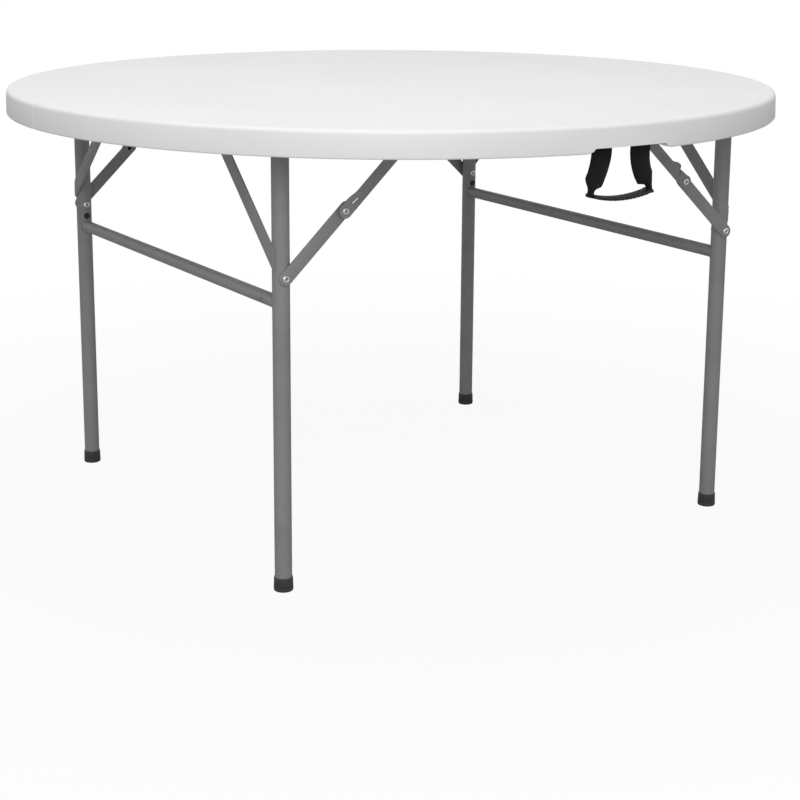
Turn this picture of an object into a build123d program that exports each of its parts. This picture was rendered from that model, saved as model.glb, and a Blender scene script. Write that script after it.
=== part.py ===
from build123d import *
import math
import os

os.makedirs("parts", exist_ok=True)

# Round folding table, in millimetres.
# X runs along the centre seam, Y across it, Z up.
# The origin is on the floor, under the middle of the top.

# Top
table_height = 680.0
top_radius = 610.0
panel_thickness = 23.0
rim_depth = 38.0
rim_wall = 18.0
rim_top_round = 6.0
rim_bottom_round = 2.5
rim_draft = 1.5
seam_gap = 0.6
seam_nick = 1.6
seam_rail_width = 30.0
rail_notch_clearance = 2.5

# Hexagonal tack-off pits moulded into the underside
pit_across = 34.0
pit_depth = 11.0
pit_draft = 20.0
pit_pitch_x = 84.0
pit_pitch_y = 72.0
pit_margin = 16.0
pit_stagger_share = 0.5

# Steel tube legs, one welded pair on each side
leg_pair_x_share = 0.6295
leg_pair_half_width_share = 0.5672
leg_pair_shift = 23.0
tube_diameter = 25.0
tube_wall = 1.2
pivot_drop = 39.0
crossbar_diameter = 19.0
crossbar_drop = 258.0
vent_hole = 3.0
vent_from_leg = 28.0

# Feet
foot_diameter = 28.5
foot_top_diameter = 27.2
foot_height = 21.0
foot_sole = 4.0
foot_round = 1.6
foot_clearance = 0.05

# Flat steel strip and its rivets
strip_width = 20.0
strip_thickness = 2.5
rivet_shank = 6.0
rivet_head = 11.0
rivet_head_height = 2.0
rivet_chamfer_share = 0.45
rivet_hole_clearance = 0.05
link_gap = 0.3
rivet_land = 0.15

# Folding braces that lock each leg
brace_rivet_drop = 221.0
brace_reach = 194.0
lower_link_share = 0.4774
lock_tail = 5.0
lock_slot_from_rivet = 24.0
lock_slot_length = 9.0
lock_slot_width = 3.2
upper_strip_width = 17.0
upper_knee_width = 21.0
lock_lobe_from_knee = 31.0
lock_lobe_rise = 6.5
lock_lobe_radius = 7.0
lock_lobe_taper = 15.0
washer_diameter = 14.0

# Corner braces inside each leg pair
corner_foot_drop = 192.0
corner_run_share = 1.05
corner_brace_width = 23.0
corner_overlap = 3.3
corner_sink = 0.8
corner_round = 3.0

# Pivot brackets that carry the leg pairs
bracket_web = 4.0
bracket_eye_wall = 3.4
bracket_base_length = 66.0
bracket_base_width = 26.0
bracket_base_thickness = 2.5
bracket_from_leg = 44.0
bracket_from_seam = 62.0
pivot_clearance = 0.06

# Hangers at the upper ends of the folding braces
hanger_width = 26.0
hanger_thickness = 3.0
hanger_base = 24.0
hanger_screw_from_face = 17.0
hanger_screw_head = 5.4

# Screws
screw_head = 8.0
screw_head_height = 1.8

# Seam hinges
hinge_length = 84.0
hinge_spacing_share = 0.459
hinge_leaf_width = 25.0
hinge_leaf_thickness = 1.6
hinge_pin = 4.0
hinge_barrel = 8.0
hinge_knuckles = 5
hinge_screw_spacing = 28.0
hinge_play = 0.3

# Tube end plugs and side plugs
plug_flange = 1.5
plug_depth = 8.0
side_plug = 9.0
side_plug_height = 1.2
side_plug_rise = 18.0

# Carrying handle
handle_x = -5.0
notch_half_width = 72.0
notch_height = 7.0
notch_slope = 12.0
strap_spacing = 67.0
strap_width = 35.0
strap_hip_spacing = 96.0
strap_hip_width = 28.5
strap_hip_drop = 40.0
strap_neck = 11.0
strap_thickness = 2.2
strap_gap = 0.3
strap_inset = 24.0
strap_pivot_rise = 4.0
strap_run = 30.0
grip_length = 120.0
grip_height = 6.0
grip_depth = 22.0
grip_sag = 9.0
grip_drop = 58.0
grip_round = 2.5
strap_plate = 15.0
strap_plate_thickness = 1.5

overrun = 2.0

# Heights and places worked out from the sizes above
leg_pair_x = top_radius * leg_pair_x_share
leg_pair_half_width = top_radius * leg_pair_half_width_share
hinge_spacing = top_radius * hinge_spacing_share
strap_y = top_radius - strap_inset
underside_z = table_height - panel_thickness
rim_z = table_height - rim_depth
pivot_z = table_height - pivot_drop
crossbar_z = table_height - crossbar_drop
brace_rivet_z = table_height - brace_rivet_drop
corner_foot_z = table_height - corner_foot_drop
tube_radius = tube_diameter / 2
rim_inner_radius = top_radius - rim_wall

made = {}


def keep(name, *solids):
    """Collect the separate solids of one named piece."""
    found = []
    for item in solids:
        found.extend(item.solids())
    made[name] = found


def rod(radius, start, end):
    """A solid cylinder between two points."""
    axis = Vector(*end) - Vector(*start)
    plane = Plane(origin=Vector(*start), z_dir=axis.normalized())
    return plane * extrude(Circle(radius), amount=axis.length)


def tube(outer, wall, start, end):
    """A round tube between two points."""
    axis = Vector(*end) - Vector(*start)
    plane = Plane(origin=Vector(*start), z_dir=axis.normalized())
    ring = Circle(outer) - Circle(outer - wall)
    return plane * extrude(ring, amount=axis.length)


def rivet_button(centre, direction):
    """A low domed rivet head that stands on a face."""
    plane = Plane(origin=Vector(*centre), z_dir=Vector(*direction))
    disc = extrude(Circle(rivet_head / 2), amount=rivet_head_height)
    top_edge = disc.edges().group_by(Axis.Z)[-1]
    return plane * chamfer(top_edge, rivet_head_height * rivet_chamfer_share)


def rivet(start, end):
    """A rivet with a head outside each of two faces."""
    axis = (Vector(*end) - Vector(*start)).normalized()
    back = axis * -1
    shank = rod(rivet_shank / 2, start, end)
    head_a = rivet_button(start, (back.X, back.Y, back.Z))
    head_b = rivet_button(end, (axis.X, axis.Y, axis.Z))
    return shank + head_a + head_b


def strip(start, end, plane_normal, tail_start=0.0, tail_end=0.0):
    """Flat strip with round ends, its near face in the plane through start."""
    a = Vector(*start)
    b = Vector(*end)
    along = (b - a).normalized()
    plane = Plane(origin=a, x_dir=along, z_dir=Vector(*plane_normal))
    length = (b - a).length
    middle = (length + tail_end - tail_start) / 2
    body = SlotCenterToCenter(length + tail_start + tail_end, strip_width)
    return plane * Pos(middle, 0, 0) * extrude(body, amount=strip_thickness)


def upper_link_face(length, up):
    """Outline of an upper link: a wide knee, the lock's lobe and a narrower strip."""
    knee_radius = upper_knee_width / 2
    edge = knee_radius - upper_strip_width
    lobe_top = lock_lobe_rise + lock_lobe_radius
    face = Circle(knee_radius)
    face += Pos(length, 0) * Circle(knee_radius)
    bar = Polygon(
        (0, -knee_radius),
        (length, -knee_radius),
        (length, -edge),
        (0, -edge),
        align=None,
    )
    lobe_run = Polygon(
        (lock_lobe_from_knee, -edge),
        (lock_lobe_from_knee + lock_lobe_taper, -edge),
        (lock_lobe_from_knee, lobe_top),
        align=None,
    )
    lobe = Pos(lock_lobe_from_knee, lock_lobe_rise) * Circle(lock_lobe_radius)
    face = face + bar + lobe_run + lobe
    return face if up > 0 else mirror(face, about=Plane.XZ)


# Round halves of the top

def half_disc():
    """Half of the moulded top, on the +Y side of the seam, before its details."""
    r = top_radius
    z = table_height
    with BuildPart() as half:
        with BuildSketch(Plane.XZ):
            with BuildLine():
                Polyline(
                    (0, underside_z),
                    (0, z),
                    (r - rim_draft - rim_top_round, z),
                )
                RadiusArc(
                    (r - rim_draft - rim_top_round, z),
                    (r - rim_draft, z - rim_top_round),
                    rim_top_round,
                )
                Line(
                    (r - rim_draft, z - rim_top_round),
                    (r, rim_z + rim_bottom_round),
                )
                RadiusArc(
                    (r, rim_z + rim_bottom_round),
                    (r - rim_bottom_round, rim_z),
                    rim_bottom_round,
                )
                Polyline(
                    (r - rim_bottom_round, rim_z),
                    (r - rim_wall, rim_z),
                    (r - rim_wall - rim_draft, underside_z),
                    (0, underside_z),
                )
            make_face()
        revolve(axis=Axis.Z, revolution_arc=180)
    shape = half.part
    box = shape.bounding_box()
    if box.center().Y < 0:
        shape = Rot(0, 0, 180) * shape
    return shape


def pit_places():
    """Centres of the tack-off pits on the +Y half, clear of what is screwed on."""
    places = []
    rows = int((rim_inner_radius - seam_rail_width) / pit_pitch_y)
    for row in range(rows):
        y = seam_rail_width + pit_across / 2 + pit_margin + row * pit_pitch_y
        columns = int(rim_inner_radius / pit_pitch_x)
        for column in range(-columns, columns + 1):
            x = (column + pit_stagger_share * (row % 2)) * pit_pitch_x
            if math.hypot(x, y) > rim_inner_radius - pit_across:
                continue
            if not near_fixture(x, y):
                places.append((x, y))
    return places


def near_fixture(x, y):
    """True where a bracket, a hanger or the handle's plate needs flat moulding."""
    reach = pit_across / 2 + pit_margin / 2
    for side_y in bracket_rows():
        near_x = abs(abs(x) - leg_pair_x) < bracket_base_length / 2 + reach
        if near_x and abs(y - side_y) < bracket_base_width / 2 + reach:
            return True
    for leg_y in (leg_pair_half_width + leg_pair_shift, leg_pair_half_width - leg_pair_shift):
        hanger_x = leg_pair_x - brace_reach
        near_x = abs(abs(x) - hanger_x) < hanger_width / 2 + reach
        if near_x and abs(y - leg_y - tube_diameter) < hanger_base + reach:
            return True
    plate_y = strap_y - strap_run
    near_strap = abs(x) < strap_spacing / 2 + strap_width / 2 + reach
    return near_strap and y > plate_y - reach


def bracket_rows():
    """Distances from the seam at which pivot brackets stand."""
    outer = leg_pair_half_width + leg_pair_shift - bracket_from_leg
    inner = leg_pair_half_width - leg_pair_shift - bracket_from_leg
    return (bracket_from_seam, inner, outer)


def seam_rail():
    """Flat rail along the seam, notched where the tubes cross it."""
    length = 2 * (rim_inner_radius - overrun)
    height = underside_z - rim_z
    rail = Pos(0, seam_rail_width / 2, rim_z + height / 2)
    rail = rail * Box(length, seam_rail_width, height)
    cut_width = tube_diameter + 2 * rail_notch_clearance
    folded_bar_x = leg_pair_x - (crossbar_drop - pivot_drop)
    for x in (-leg_pair_x, leg_pair_x, -folded_bar_x, folded_bar_x):
        notch = Box(cut_width, 2 * seam_rail_width + overrun, height)
        rail = rail - Pos(x, seam_rail_width / 2, rim_z + height / 2) * notch
    return rail


def seam_cut():
    """What is taken off at the seam: the gap and the small nicks at the rim."""
    cut = Pos(0, 0, table_height - rim_depth / 2)
    cut = cut * Box(2 * top_radius + overrun, seam_gap, 2 * rim_depth)
    return cut


def seam_nicks():
    """Bevels at the seam's ends, on the upper and lower corners of the rim."""
    wedge = Box(2 * seam_nick, 2 * seam_nick, 2 * seam_nick)
    nicks = []
    for x in (-top_radius, top_radius):
        for z in (table_height, rim_z):
            turned = Rot(0, 0, 45) * wedge
            nicks.append(Pos(x, 0, z) * turned)
    return nicks


def make_half():
    """One finished half on the +Y side, before the handle's notch."""
    half = half_disc() + seam_rail()
    pit = extrude(
        RegularPolygon(pit_across / 2, 6),
        amount=pit_depth,
        taper=pit_draft,
    )
    pits = [Pos(x, y, underside_z) * pit for x, y in pit_places()]
    half = half - pits
    half = half - seam_cut()
    half = half - seam_nicks()
    return half


def handle_notch():
    """Sloped notch in the lower edge of the rim, over the handle."""
    wide = notch_half_width
    narrow = notch_half_width - notch_slope
    profile = Plane.XZ * Polygon(
        (handle_x - wide, rim_z - overrun),
        (handle_x + wide, rim_z - overrun),
        (handle_x + wide, rim_z),
        (handle_x + narrow, rim_z + notch_height),
        (handle_x - narrow, rim_z + notch_height),
        (handle_x - wide, rim_z),
        align=None,
    )
    notch = extrude(profile, amount=rim_wall, both=True)
    return Pos(0, rim_wall / 2 - top_radius, 0) * notch


half = make_half()
keep("top_half_far", half)
keep("top_half_near", Rot(0, 0, 180) * half - handle_notch())


# Seam hinges

def hinge_leaf(side):
    """Leaves of the three seam hinges on one side, with every other knuckle."""
    leaves = []
    leaf_top = rim_z - hinge_play / 2
    axis_z = leaf_top - hinge_leaf_thickness / 2
    knuckle = hinge_length / hinge_knuckles
    first = 0 if side > 0 else 1
    for centre_x in (-hinge_spacing, 0, hinge_spacing):
        start_x = centre_x - hinge_length / 2
        plate_width = hinge_leaf_width - hinge_barrel / 2
        plate_y = side * (hinge_barrel / 2 + plate_width / 2)
        plate = Box(hinge_length, plate_width, hinge_leaf_thickness)
        leaf = Pos(centre_x, plate_y, axis_z) * plate
        for number in range(first, hinge_knuckles, 2):
            a = start_x + number * knuckle + hinge_play / 2
            b = start_x + (number + 1) * knuckle - hinge_play / 2
            barrel = rod(hinge_barrel / 2, (a, 0, axis_z), (b, 0, axis_z))
            tongue_y = side * hinge_barrel / 4
            tongue = Box(b - a, hinge_barrel / 2 + overrun, hinge_leaf_thickness)
            leaf = leaf + barrel
            leaf = leaf + Pos((a + b) / 2, tongue_y + side * overrun / 2, axis_z) * tongue
        bore_start = (start_x - overrun, 0, axis_z)
        bore_end = (start_x + hinge_length + overrun, 0, axis_z)
        leaf = leaf - rod(hinge_pin / 2 + pivot_clearance, bore_start, bore_end)
        leaves.append(leaf)
    return leaves, axis_z


leaves_far, hinge_z = hinge_leaf(1)
leaves_near, hinge_z = hinge_leaf(-1)
barrel_room = []
for centre_x in (-hinge_spacing, 0, hinge_spacing):
    room = Box(hinge_length + 2 * hinge_play, hinge_barrel + 4 * hinge_play, hinge_barrel + 2 * hinge_play)
    barrel_room.append(Pos(centre_x, 0, hinge_z) * room)
for name in ("top_half_far", "top_half_near"):
    keep(name, made[name][0] - barrel_room)
keep("hinge_leaves_far", *leaves_far)
keep("hinge_leaves_near", *leaves_near)

pins = []
hinge_screws = []
for centre_x in (-hinge_spacing, 0, hinge_spacing):
    a = centre_x - hinge_length / 2
    b = centre_x + hinge_length / 2
    pins.append(rod(hinge_pin / 2, (a, 0, hinge_z), (b, 0, hinge_z)))
    for side in (-1, 1):
        for offset in (-hinge_screw_spacing, 0, hinge_screw_spacing):
            y = side * (hinge_barrel / 2 + hinge_leaf_width) / 2
            face_z = hinge_z - hinge_leaf_thickness / 2
            start = (centre_x + offset, y, face_z)
            end = (centre_x + offset, y, face_z - screw_head_height)
            hinge_screws.append(rod(screw_head / 2, start, end))
keep("hinge_pins", *pins)
keep("hinge_screws", *hinge_screws)


# Pivot brackets

def pivot_bracket(x, y):
    """Bracket with an eye round the pivot tube and a base under the panel."""
    eye_radius = tube_radius + bracket_eye_wall
    base_z = underside_z - bracket_base_thickness / 2
    base = Box(bracket_base_length, bracket_base_width, bracket_base_thickness)
    base = Pos(x, y, base_z) * base
    web_height = underside_z - bracket_base_thickness - pivot_z
    post = Pos(x, y, pivot_z + web_height / 2) * Box(2 * eye_radius, bracket_web, web_height)
    half_web = bracket_web / 2
    eye = rod(eye_radius, (x, y - half_web, pivot_z), (x, y + half_web, pivot_z))
    bore_radius = tube_radius + pivot_clearance
    bore_start = (x, y - bracket_base_width, pivot_z)
    bore_end = (x, y + bracket_base_width, pivot_z)
    return base + post + eye - rod(bore_radius, bore_start, bore_end)


def bracket_places(side):
    """Pivot bracket places along one leg pair."""
    centre = -side * leg_pair_shift
    outer = leg_pair_half_width - bracket_from_leg
    return (centre - outer, -bracket_from_seam, bracket_from_seam, centre + outer)


bracket_screws = []
bracket_screw_from_middle = (tube_radius + bracket_eye_wall + bracket_base_length / 2) / 2
for side, word in ((-1, "left"), (1, "right")):
    brackets = []
    for y in bracket_places(side):
        brackets.append(pivot_bracket(side * leg_pair_x, y))
        for direction in (-1, 1):
            screw_x = side * leg_pair_x + direction * bracket_screw_from_middle
            face_z = underside_z - bracket_base_thickness
            start = (screw_x, y, face_z)
            end = (screw_x, y, face_z - screw_head_height)
            bracket_screws.append(rod(screw_head / 2, start, end))
    keep("pivot_brackets_" + word, *brackets)
keep("bracket_screws", *bracket_screws)


# Leg pairs, their folding braces and hangers

def corner_brace(x, side, leg_y, out):
    """Flat strip from the leg to the pivot tube, its ends cut along the tubes."""
    rise = pivot_z - corner_foot_z
    climb = 1 / corner_run_share
    half_cut = corner_brace_width / 2 * math.sqrt(1 + climb ** 2)
    foot_z = corner_foot_z - climb * corner_overlap
    head_z = pivot_z + corner_overlap
    near_run = (rise + corner_overlap - half_cut) / climb
    far_run = (rise + corner_overlap + half_cut) / climb
    inner_x = x + side * (tube_radius - corner_sink)
    outline = Polyline(
        (inner_x, leg_y + out * corner_overlap, foot_z - half_cut),
        (inner_x, leg_y + out * corner_overlap, foot_z + half_cut),
        (inner_x, leg_y - out * near_run, head_z),
        (inner_x, leg_y - out * far_run, head_z),
        close=True,
    )
    plate = extrude(make_face(outline), amount=strip_thickness, dir=(side, 0, 0))
    return fillet(plate.edges().filter_by(Axis.X), corner_round)


brace_rise = pivot_z - brace_rivet_z
brace_length = math.hypot(brace_reach, brace_rise)
lower_length = brace_length * lower_link_share
upper_length = brace_length - lower_length
hangers = []
hanger_screws = []
hanger_rivets = []

for side, word in ((-1, "left"), (1, "right")):
    x = side * leg_pair_x
    inward = -side
    centre_y = -side * leg_pair_shift
    leg_places = {
        "far": centre_y + leg_pair_half_width,
        "near": centre_y - leg_pair_half_width,
    }
    pivot_rod_far = (x, leg_places["far"] + tube_radius, pivot_z)
    pivot_rod_near = (x, leg_places["near"] - tube_radius, pivot_z)
    pivot_solid = rod(tube_radius, pivot_rod_near, pivot_rod_far)
    leg_solids = {}
    rivets = []
    side_plugs = []
    end_plugs = []
    hole = rivet_shank / 2 + rivet_hole_clearance
    pivot_tube = tube(tube_radius, tube_wall, pivot_rod_near, pivot_rod_far)
    crossbar_ends = (
        (x, leg_places["near"], crossbar_z),
        (x, leg_places["far"], crossbar_z),
    )
    crossbar = tube(crossbar_diameter / 2, tube_wall, *crossbar_ends)
    for place, leg_y in leg_places.items():
        out = 1 if place == "far" else -1
        tag = place + "_" + word
        face_y = leg_y + out * tube_radius
        inner_y = leg_y - out * tube_radius
        foot_start = (x, leg_y, foot_sole)
        leg_top = (x, leg_y, pivot_z)
        leg = tube(tube_radius, tube_wall, foot_start, leg_top) - pivot_solid
        crossbar = crossbar - rod(tube_radius, foot_start, leg_top)

        # The strip layers outside the leg, counted outward from its face
        lower_y = face_y + out * rivet_land
        lower_outer_y = lower_y + out * strip_thickness
        upper_y = lower_outer_y + out * (rivet_head_height + 2 * link_gap)
        upper_outer_y = upper_y + out * strip_thickness
        hanger_y = upper_outer_y + out * link_gap
        hanger_outer_y = hanger_y + out * hanger_thickness

        # Rivet through the leg at the lower link
        brace_start = (x, inner_y, brace_rivet_z)
        brace_end = (x, lower_outer_y, brace_rivet_z)
        rivets.append(rivet(brace_start, brace_end))
        leg = leg - rod(
            hole,
            (x, leg_y - out * tube_diameter, brace_rivet_z),
            (x, leg_y + out * tube_diameter, brace_rivet_z),
        )

        # Corner brace on the outer side of the pair, coped and welded to both tubes
        brace = corner_brace(x, side, leg_y, out)
        brace = brace - rod(tube_radius, foot_start, leg_top) - pivot_solid
        keep("corner_brace_" + tag, brace)

        # Folding brace: lower link on the leg, upper link on the hanger
        share = lower_length / brace_length
        knee_x = x + inward * brace_reach * share
        knee_z = brace_rivet_z + brace_rise * share
        upper_x = x + inward * brace_reach
        lower = strip(
            (x, lower_y, brace_rivet_z),
            (knee_x, lower_y, knee_z),
            (0, out, 0),
            tail_end=lock_tail,
        )
        lower = lower - rod(
            hole, (x, leg_y, brace_rivet_z), (x, hanger_outer_y, brace_rivet_z)
        )
        lower = lower - rod(hole, (knee_x, leg_y, knee_z), (knee_x, hanger_outer_y, knee_z))
        keep("lower_link_" + tag, lower)

        upper_plane = Plane(
            origin=(knee_x, upper_y, knee_z),
            x_dir=(inward * brace_reach, 0, brace_rise),
            z_dir=(0, out, 0),
        )
        upper_face = upper_link_face(upper_length, -out * inward)
        upper = upper_plane * extrude(upper_face, amount=strip_thickness)
        upper = upper - rod(hole, (knee_x, leg_y, knee_z), (knee_x, hanger_outer_y, knee_z))
        upper = upper - rod(hole, (upper_x, leg_y, pivot_z), (upper_x, hanger_outer_y, pivot_z))
        slope = math.degrees(math.atan2(brace_rise, inward * brace_reach))
        slot_share = (lower_length + lock_slot_from_rivet) / brace_length
        slot_x = x + inward * brace_reach * slot_share
        slot_z = brace_rivet_z + brace_rise * slot_share
        slot_plane = Plane(
            origin=(slot_x, leg_y, slot_z),
            x_dir=(math.cos(math.radians(slope)), 0, math.sin(math.radians(slope))),
            z_dir=(0, out, 0),
        )
        slot = SlotOverall(lock_slot_length, lock_slot_width)
        upper = upper - slot_plane * extrude(slot, amount=hanger_base + tube_diameter)
        keep("upper_link_" + tag, upper)

        # Knee rivet: shank and washer on the lower link, head on the upper link
        shank_start = (knee_x, lower_y, knee_z)
        washer_start = (knee_x, lower_outer_y, knee_z)
        washer_end = (knee_x, upper_y - out * link_gap, knee_z)
        washer = rod(washer_diameter / 2, washer_start, washer_end)
        shank = rod(rivet_shank / 2, shank_start, washer_end)
        keep("knee_rivet_" + tag, shank + washer)
        head_start = (knee_x, upper_y, knee_z)
        head_end = (knee_x, upper_outer_y, knee_z)
        head = rod(rivet_shank / 2, head_start, head_end)
        head = head + rivet_button(head_end, (0, out, 0))
        keep("knee_rivet_head_" + tag, head)

        # Hanger under the panel for the upper link, with its rivet and screws
        middle_y = hanger_y + out * hanger_thickness / 2
        drop = underside_z - pivot_z
        plate = Pos(upper_x, middle_y, pivot_z + drop / 2)
        plate = plate * Box(hanger_width, hanger_thickness, drop)
        lobe_start = (upper_x, hanger_y, pivot_z)
        lobe_end = (upper_x, hanger_outer_y, pivot_z)
        plate = plate + rod(hanger_width / 2, lobe_start, lobe_end)
        flange_y = hanger_y + out * hanger_base / 2
        flange = Box(hanger_width, hanger_base, hanger_thickness)
        flange = Pos(upper_x, flange_y, underside_z - hanger_thickness / 2) * flange
        hanger = plate + flange
        hanger = hanger - rod(hole, (upper_x, leg_y, pivot_z), (upper_x, hanger_outer_y + out, pivot_z))
        hangers.append(hanger)
        rivet_start = (upper_x, upper_y - out * rivet_land, pivot_z)
        hanger_rivets.append(rivet(rivet_start, lobe_end))
        for shift_x in (-hanger_width / 4, hanger_width / 4):
            screw_y = hanger_y + out * hanger_screw_from_face
            face_z = underside_z - hanger_thickness
            start = (upper_x + shift_x, screw_y, face_z)
            end = (upper_x + shift_x, screw_y, face_z - screw_head_height)
            hanger_screws.append(rod(hanger_screw_head / 2, start, end))

        # Black plug in the inner side of the leg, above the crossbar
        plug_z = crossbar_z + side_plug_rise
        plug_in = (x, leg_y - out * (tube_radius - tube_wall), plug_z)
        plug_out = (x, inner_y - out * side_plug_height, plug_z)
        plug = rod(side_plug / 2, plug_in, plug_out)
        leg = leg - rod(side_plug / 2 + rivet_hole_clearance, (x, leg_y, plug_z), plug_out)
        side_plugs.append(plug)
        keep("leg_" + tag, leg)

        # Plug in the open end of the pivot tube
        end_face = (x, face_y, pivot_z)
        end_out = (x, face_y + out * plug_flange, pivot_z)
        end_in = (x, face_y - out * plug_depth, pivot_z)
        flange = rod(tube_radius, end_face, end_out)
        stem = rod(tube_radius - tube_wall, end_in, end_face)
        end_plugs.append(flange + stem)

        # Rubber foot
        taper = Polyline(
            (0, 0),
            (foot_diameter / 2 - foot_round, 0),
            (foot_diameter / 2, foot_round),
            (foot_top_diameter / 2, foot_height),
            (0, foot_height),
            (0, 0),
        )
        foot = revolve(Plane.XZ * make_face(taper), axis=Axis.Z)
        foot = Pos(x, leg_y, 0) * foot
        foot = foot - rod(
            tube_radius + foot_clearance,
            (x, leg_y, foot_sole),
            (x, leg_y, foot_height + overrun),
        )
        keep("foot_" + tag, foot)

    vent_y = leg_places["near"] + tube_radius + vent_from_leg
    vent = rod(vent_hole / 2, (x, vent_y, crossbar_z), (x + side * tube_diameter, vent_y, crossbar_z))
    keep("pivot_tube_" + word, pivot_tube)
    keep("crossbar_" + word, crossbar - vent)
    keep("leg_rivets_" + word, *rivets)
    keep("leg_plugs_" + word, *side_plugs)
    keep("tube_end_plugs_" + word, *end_plugs)

keep("brace_hangers", *hangers)
keep("hanger_rivets", *hanger_rivets)
keep("hanger_screws", *hanger_screws)


# Carrying handle, hanging at the near rim

strap_pivot_z = rim_z + strap_pivot_rise
grip_end_z = strap_pivot_z - grip_drop
half_grip = grip_length / 2


def grip_face():
    """The folded grip as seen from the front, sagging in the middle."""
    top = grip_end_z
    bottom = grip_end_z - grip_height
    with BuildSketch(Plane.XZ) as sketch:
        with BuildLine():
            ThreePointArc(
                (handle_x - half_grip, top),
                (handle_x, top - grip_sag),
                (handle_x + half_grip, top),
            )
            Line((handle_x + half_grip, top), (handle_x + half_grip, bottom))
            ThreePointArc(
                (handle_x + half_grip, bottom),
                (handle_x, bottom - grip_sag),
                (handle_x - half_grip, bottom),
            )
            Line((handle_x - half_grip, bottom), (handle_x - half_grip, top))
        make_face()
    return sketch.sketch


grip = extrude(grip_face(), amount=grip_depth / 2, both=True)
grip = Pos(0, -strap_y, 0) * grip
grip = fillet(grip.edges().filter_by(GeomType.CIRCLE), grip_round)
keep("handle_grip", grip)

anchors = []
plates = []
screws = []
for side, word in ((-1, "left"), (1, "right")):
    top_x = handle_x + side * strap_spacing / 2
    neck_x = handle_x + side * (half_grip - strap_neck / 2 - grip_round)
    neck_z = grip_end_z + grip_round
    hip_x = handle_x + side * strap_hip_spacing / 2
    hip_z = strap_pivot_z - strap_hip_drop
    face = Plane.XZ * Polygon(
        (top_x - strap_width / 2, strap_pivot_z),
        (top_x + strap_width / 2, strap_pivot_z),
        (hip_x + strap_hip_width / 2, hip_z),
        (neck_x + strap_neck / 2, neck_z),
        (neck_x + strap_neck / 2, grip_end_z - grip_height / 2),
        (neck_x - strap_neck / 2, grip_end_z - grip_height / 2),
        (neck_x - strap_neck / 2, neck_z),
        (hip_x - strap_hip_width / 2, hip_z),
        align=None,
    )
    strap = extrude(face, amount=strap_thickness / 2, both=True)
    strap = Pos(0, -strap_y, 0) * strap
    fold_start = (top_x - strap_width / 2, -strap_y, strap_pivot_z)
    fold_end = (top_x + strap_width / 2, -strap_y, strap_pivot_z)
    strap = strap + rod(strap_thickness / 2, fold_start, fold_end)
    keep("handle_strap_" + word, strap - grip)
    run_y = strap_thickness / 2 + strap_run / 2 - strap_y
    flat = Box(strap_width, strap_run, strap_thickness)
    flat = Pos(top_x, run_y, underside_z - strap_thickness / 2) * flat
    down_z = strap_pivot_z + strap_thickness / 2 + strap_gap
    down_height = underside_z - down_z
    down = Box(strap_width, strap_thickness, down_height)
    down = Pos(top_x, -strap_y, down_z + down_height / 2) * down
    anchors.append(flat + down)
    plate_top = underside_z - strap_thickness
    plate_y = run_y + strap_thickness
    plate = Box(strap_width, strap_plate, strap_plate_thickness)
    plates.append(Pos(top_x, plate_y, plate_top - strap_plate_thickness / 2) * plate)
    for shift_x in (-strap_width / 4, strap_width / 4):
        face_z = plate_top - strap_plate_thickness
        start = (top_x + shift_x, plate_y, face_z)
        end = (top_x + shift_x, plate_y, face_z - screw_head_height)
        screws.append(rod(screw_head / 2, start, end))
keep("handle_strap_ends", *anchors)
keep("handle_plates", *plates)
keep("handle_screws", *screws)


for name, solids in made.items():
    piece = solids[0] if len(solids) == 1 else Compound(children=list(solids))
    piece.label = name
    export_step(piece, "parts/" + name + ".step")
    print(name, len(solids))
print("knee", round(lower_length, 3), round(upper_length, 3))
print("nodes", len(made))
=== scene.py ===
# %% [markdown]
# # A round folding table
#
# The real table is a white plastic top, moulded hollow in two halves, on two
# pairs of grey steel tube legs that fold flat under it. The measured model
# comes first and nothing in it is moved: each cell below adds a finer skin,
# a fastening or a finish to one of its pieces, in the same place.

# %% Load the measured model
import math

import bmesh
import bpy
from mathutils import Matrix, Vector


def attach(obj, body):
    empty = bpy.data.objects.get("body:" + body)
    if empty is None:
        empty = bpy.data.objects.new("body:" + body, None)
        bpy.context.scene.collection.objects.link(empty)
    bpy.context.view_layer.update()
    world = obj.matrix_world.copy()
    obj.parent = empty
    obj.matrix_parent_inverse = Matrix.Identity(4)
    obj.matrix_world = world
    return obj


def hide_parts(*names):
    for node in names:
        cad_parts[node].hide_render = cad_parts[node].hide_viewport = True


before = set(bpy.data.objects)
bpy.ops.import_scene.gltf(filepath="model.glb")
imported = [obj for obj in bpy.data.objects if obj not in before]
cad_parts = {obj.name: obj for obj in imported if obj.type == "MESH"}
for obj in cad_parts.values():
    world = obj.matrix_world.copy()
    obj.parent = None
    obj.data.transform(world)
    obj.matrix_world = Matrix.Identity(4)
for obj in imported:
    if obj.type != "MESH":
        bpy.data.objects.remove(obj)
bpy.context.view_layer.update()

# %% [markdown]
# ## The sizes that every piece shares
#
# A piece can only sit right if it is made from the same numbers as its
# neighbours. These are the table's own sizes, in metres: X runs along the
# fold line of the top, Y across it, and Z is up from the floor.

# %% Sizes of the table
TOP_Z = 0.680
TOP_RADIUS = 0.610
UNDERSIDE_Z = 0.657
RIM_Z = 0.642
RIM_WALL = 0.018
TUBE_RADIUS = 0.0125
PIVOT_Z = 0.641
CROSSBAR_Z = 0.422
CROSSBAR_RADIUS = 0.0095
LEG_X = 0.6295 * TOP_RADIUS
LEG_HALF_WIDTH = 0.5672 * TOP_RADIUS
LEG_SHIFT = 0.023
BRACKET_INSET = 0.044
MIDDLE_BRACKET_Y = 0.062
HANDLE_X = -0.005
HANDLE_Y = -0.586
HANDLE_Z = 0.646
STRAP_OUT = 0.0335
WEBBING_WIDTH = 0.035

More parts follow.
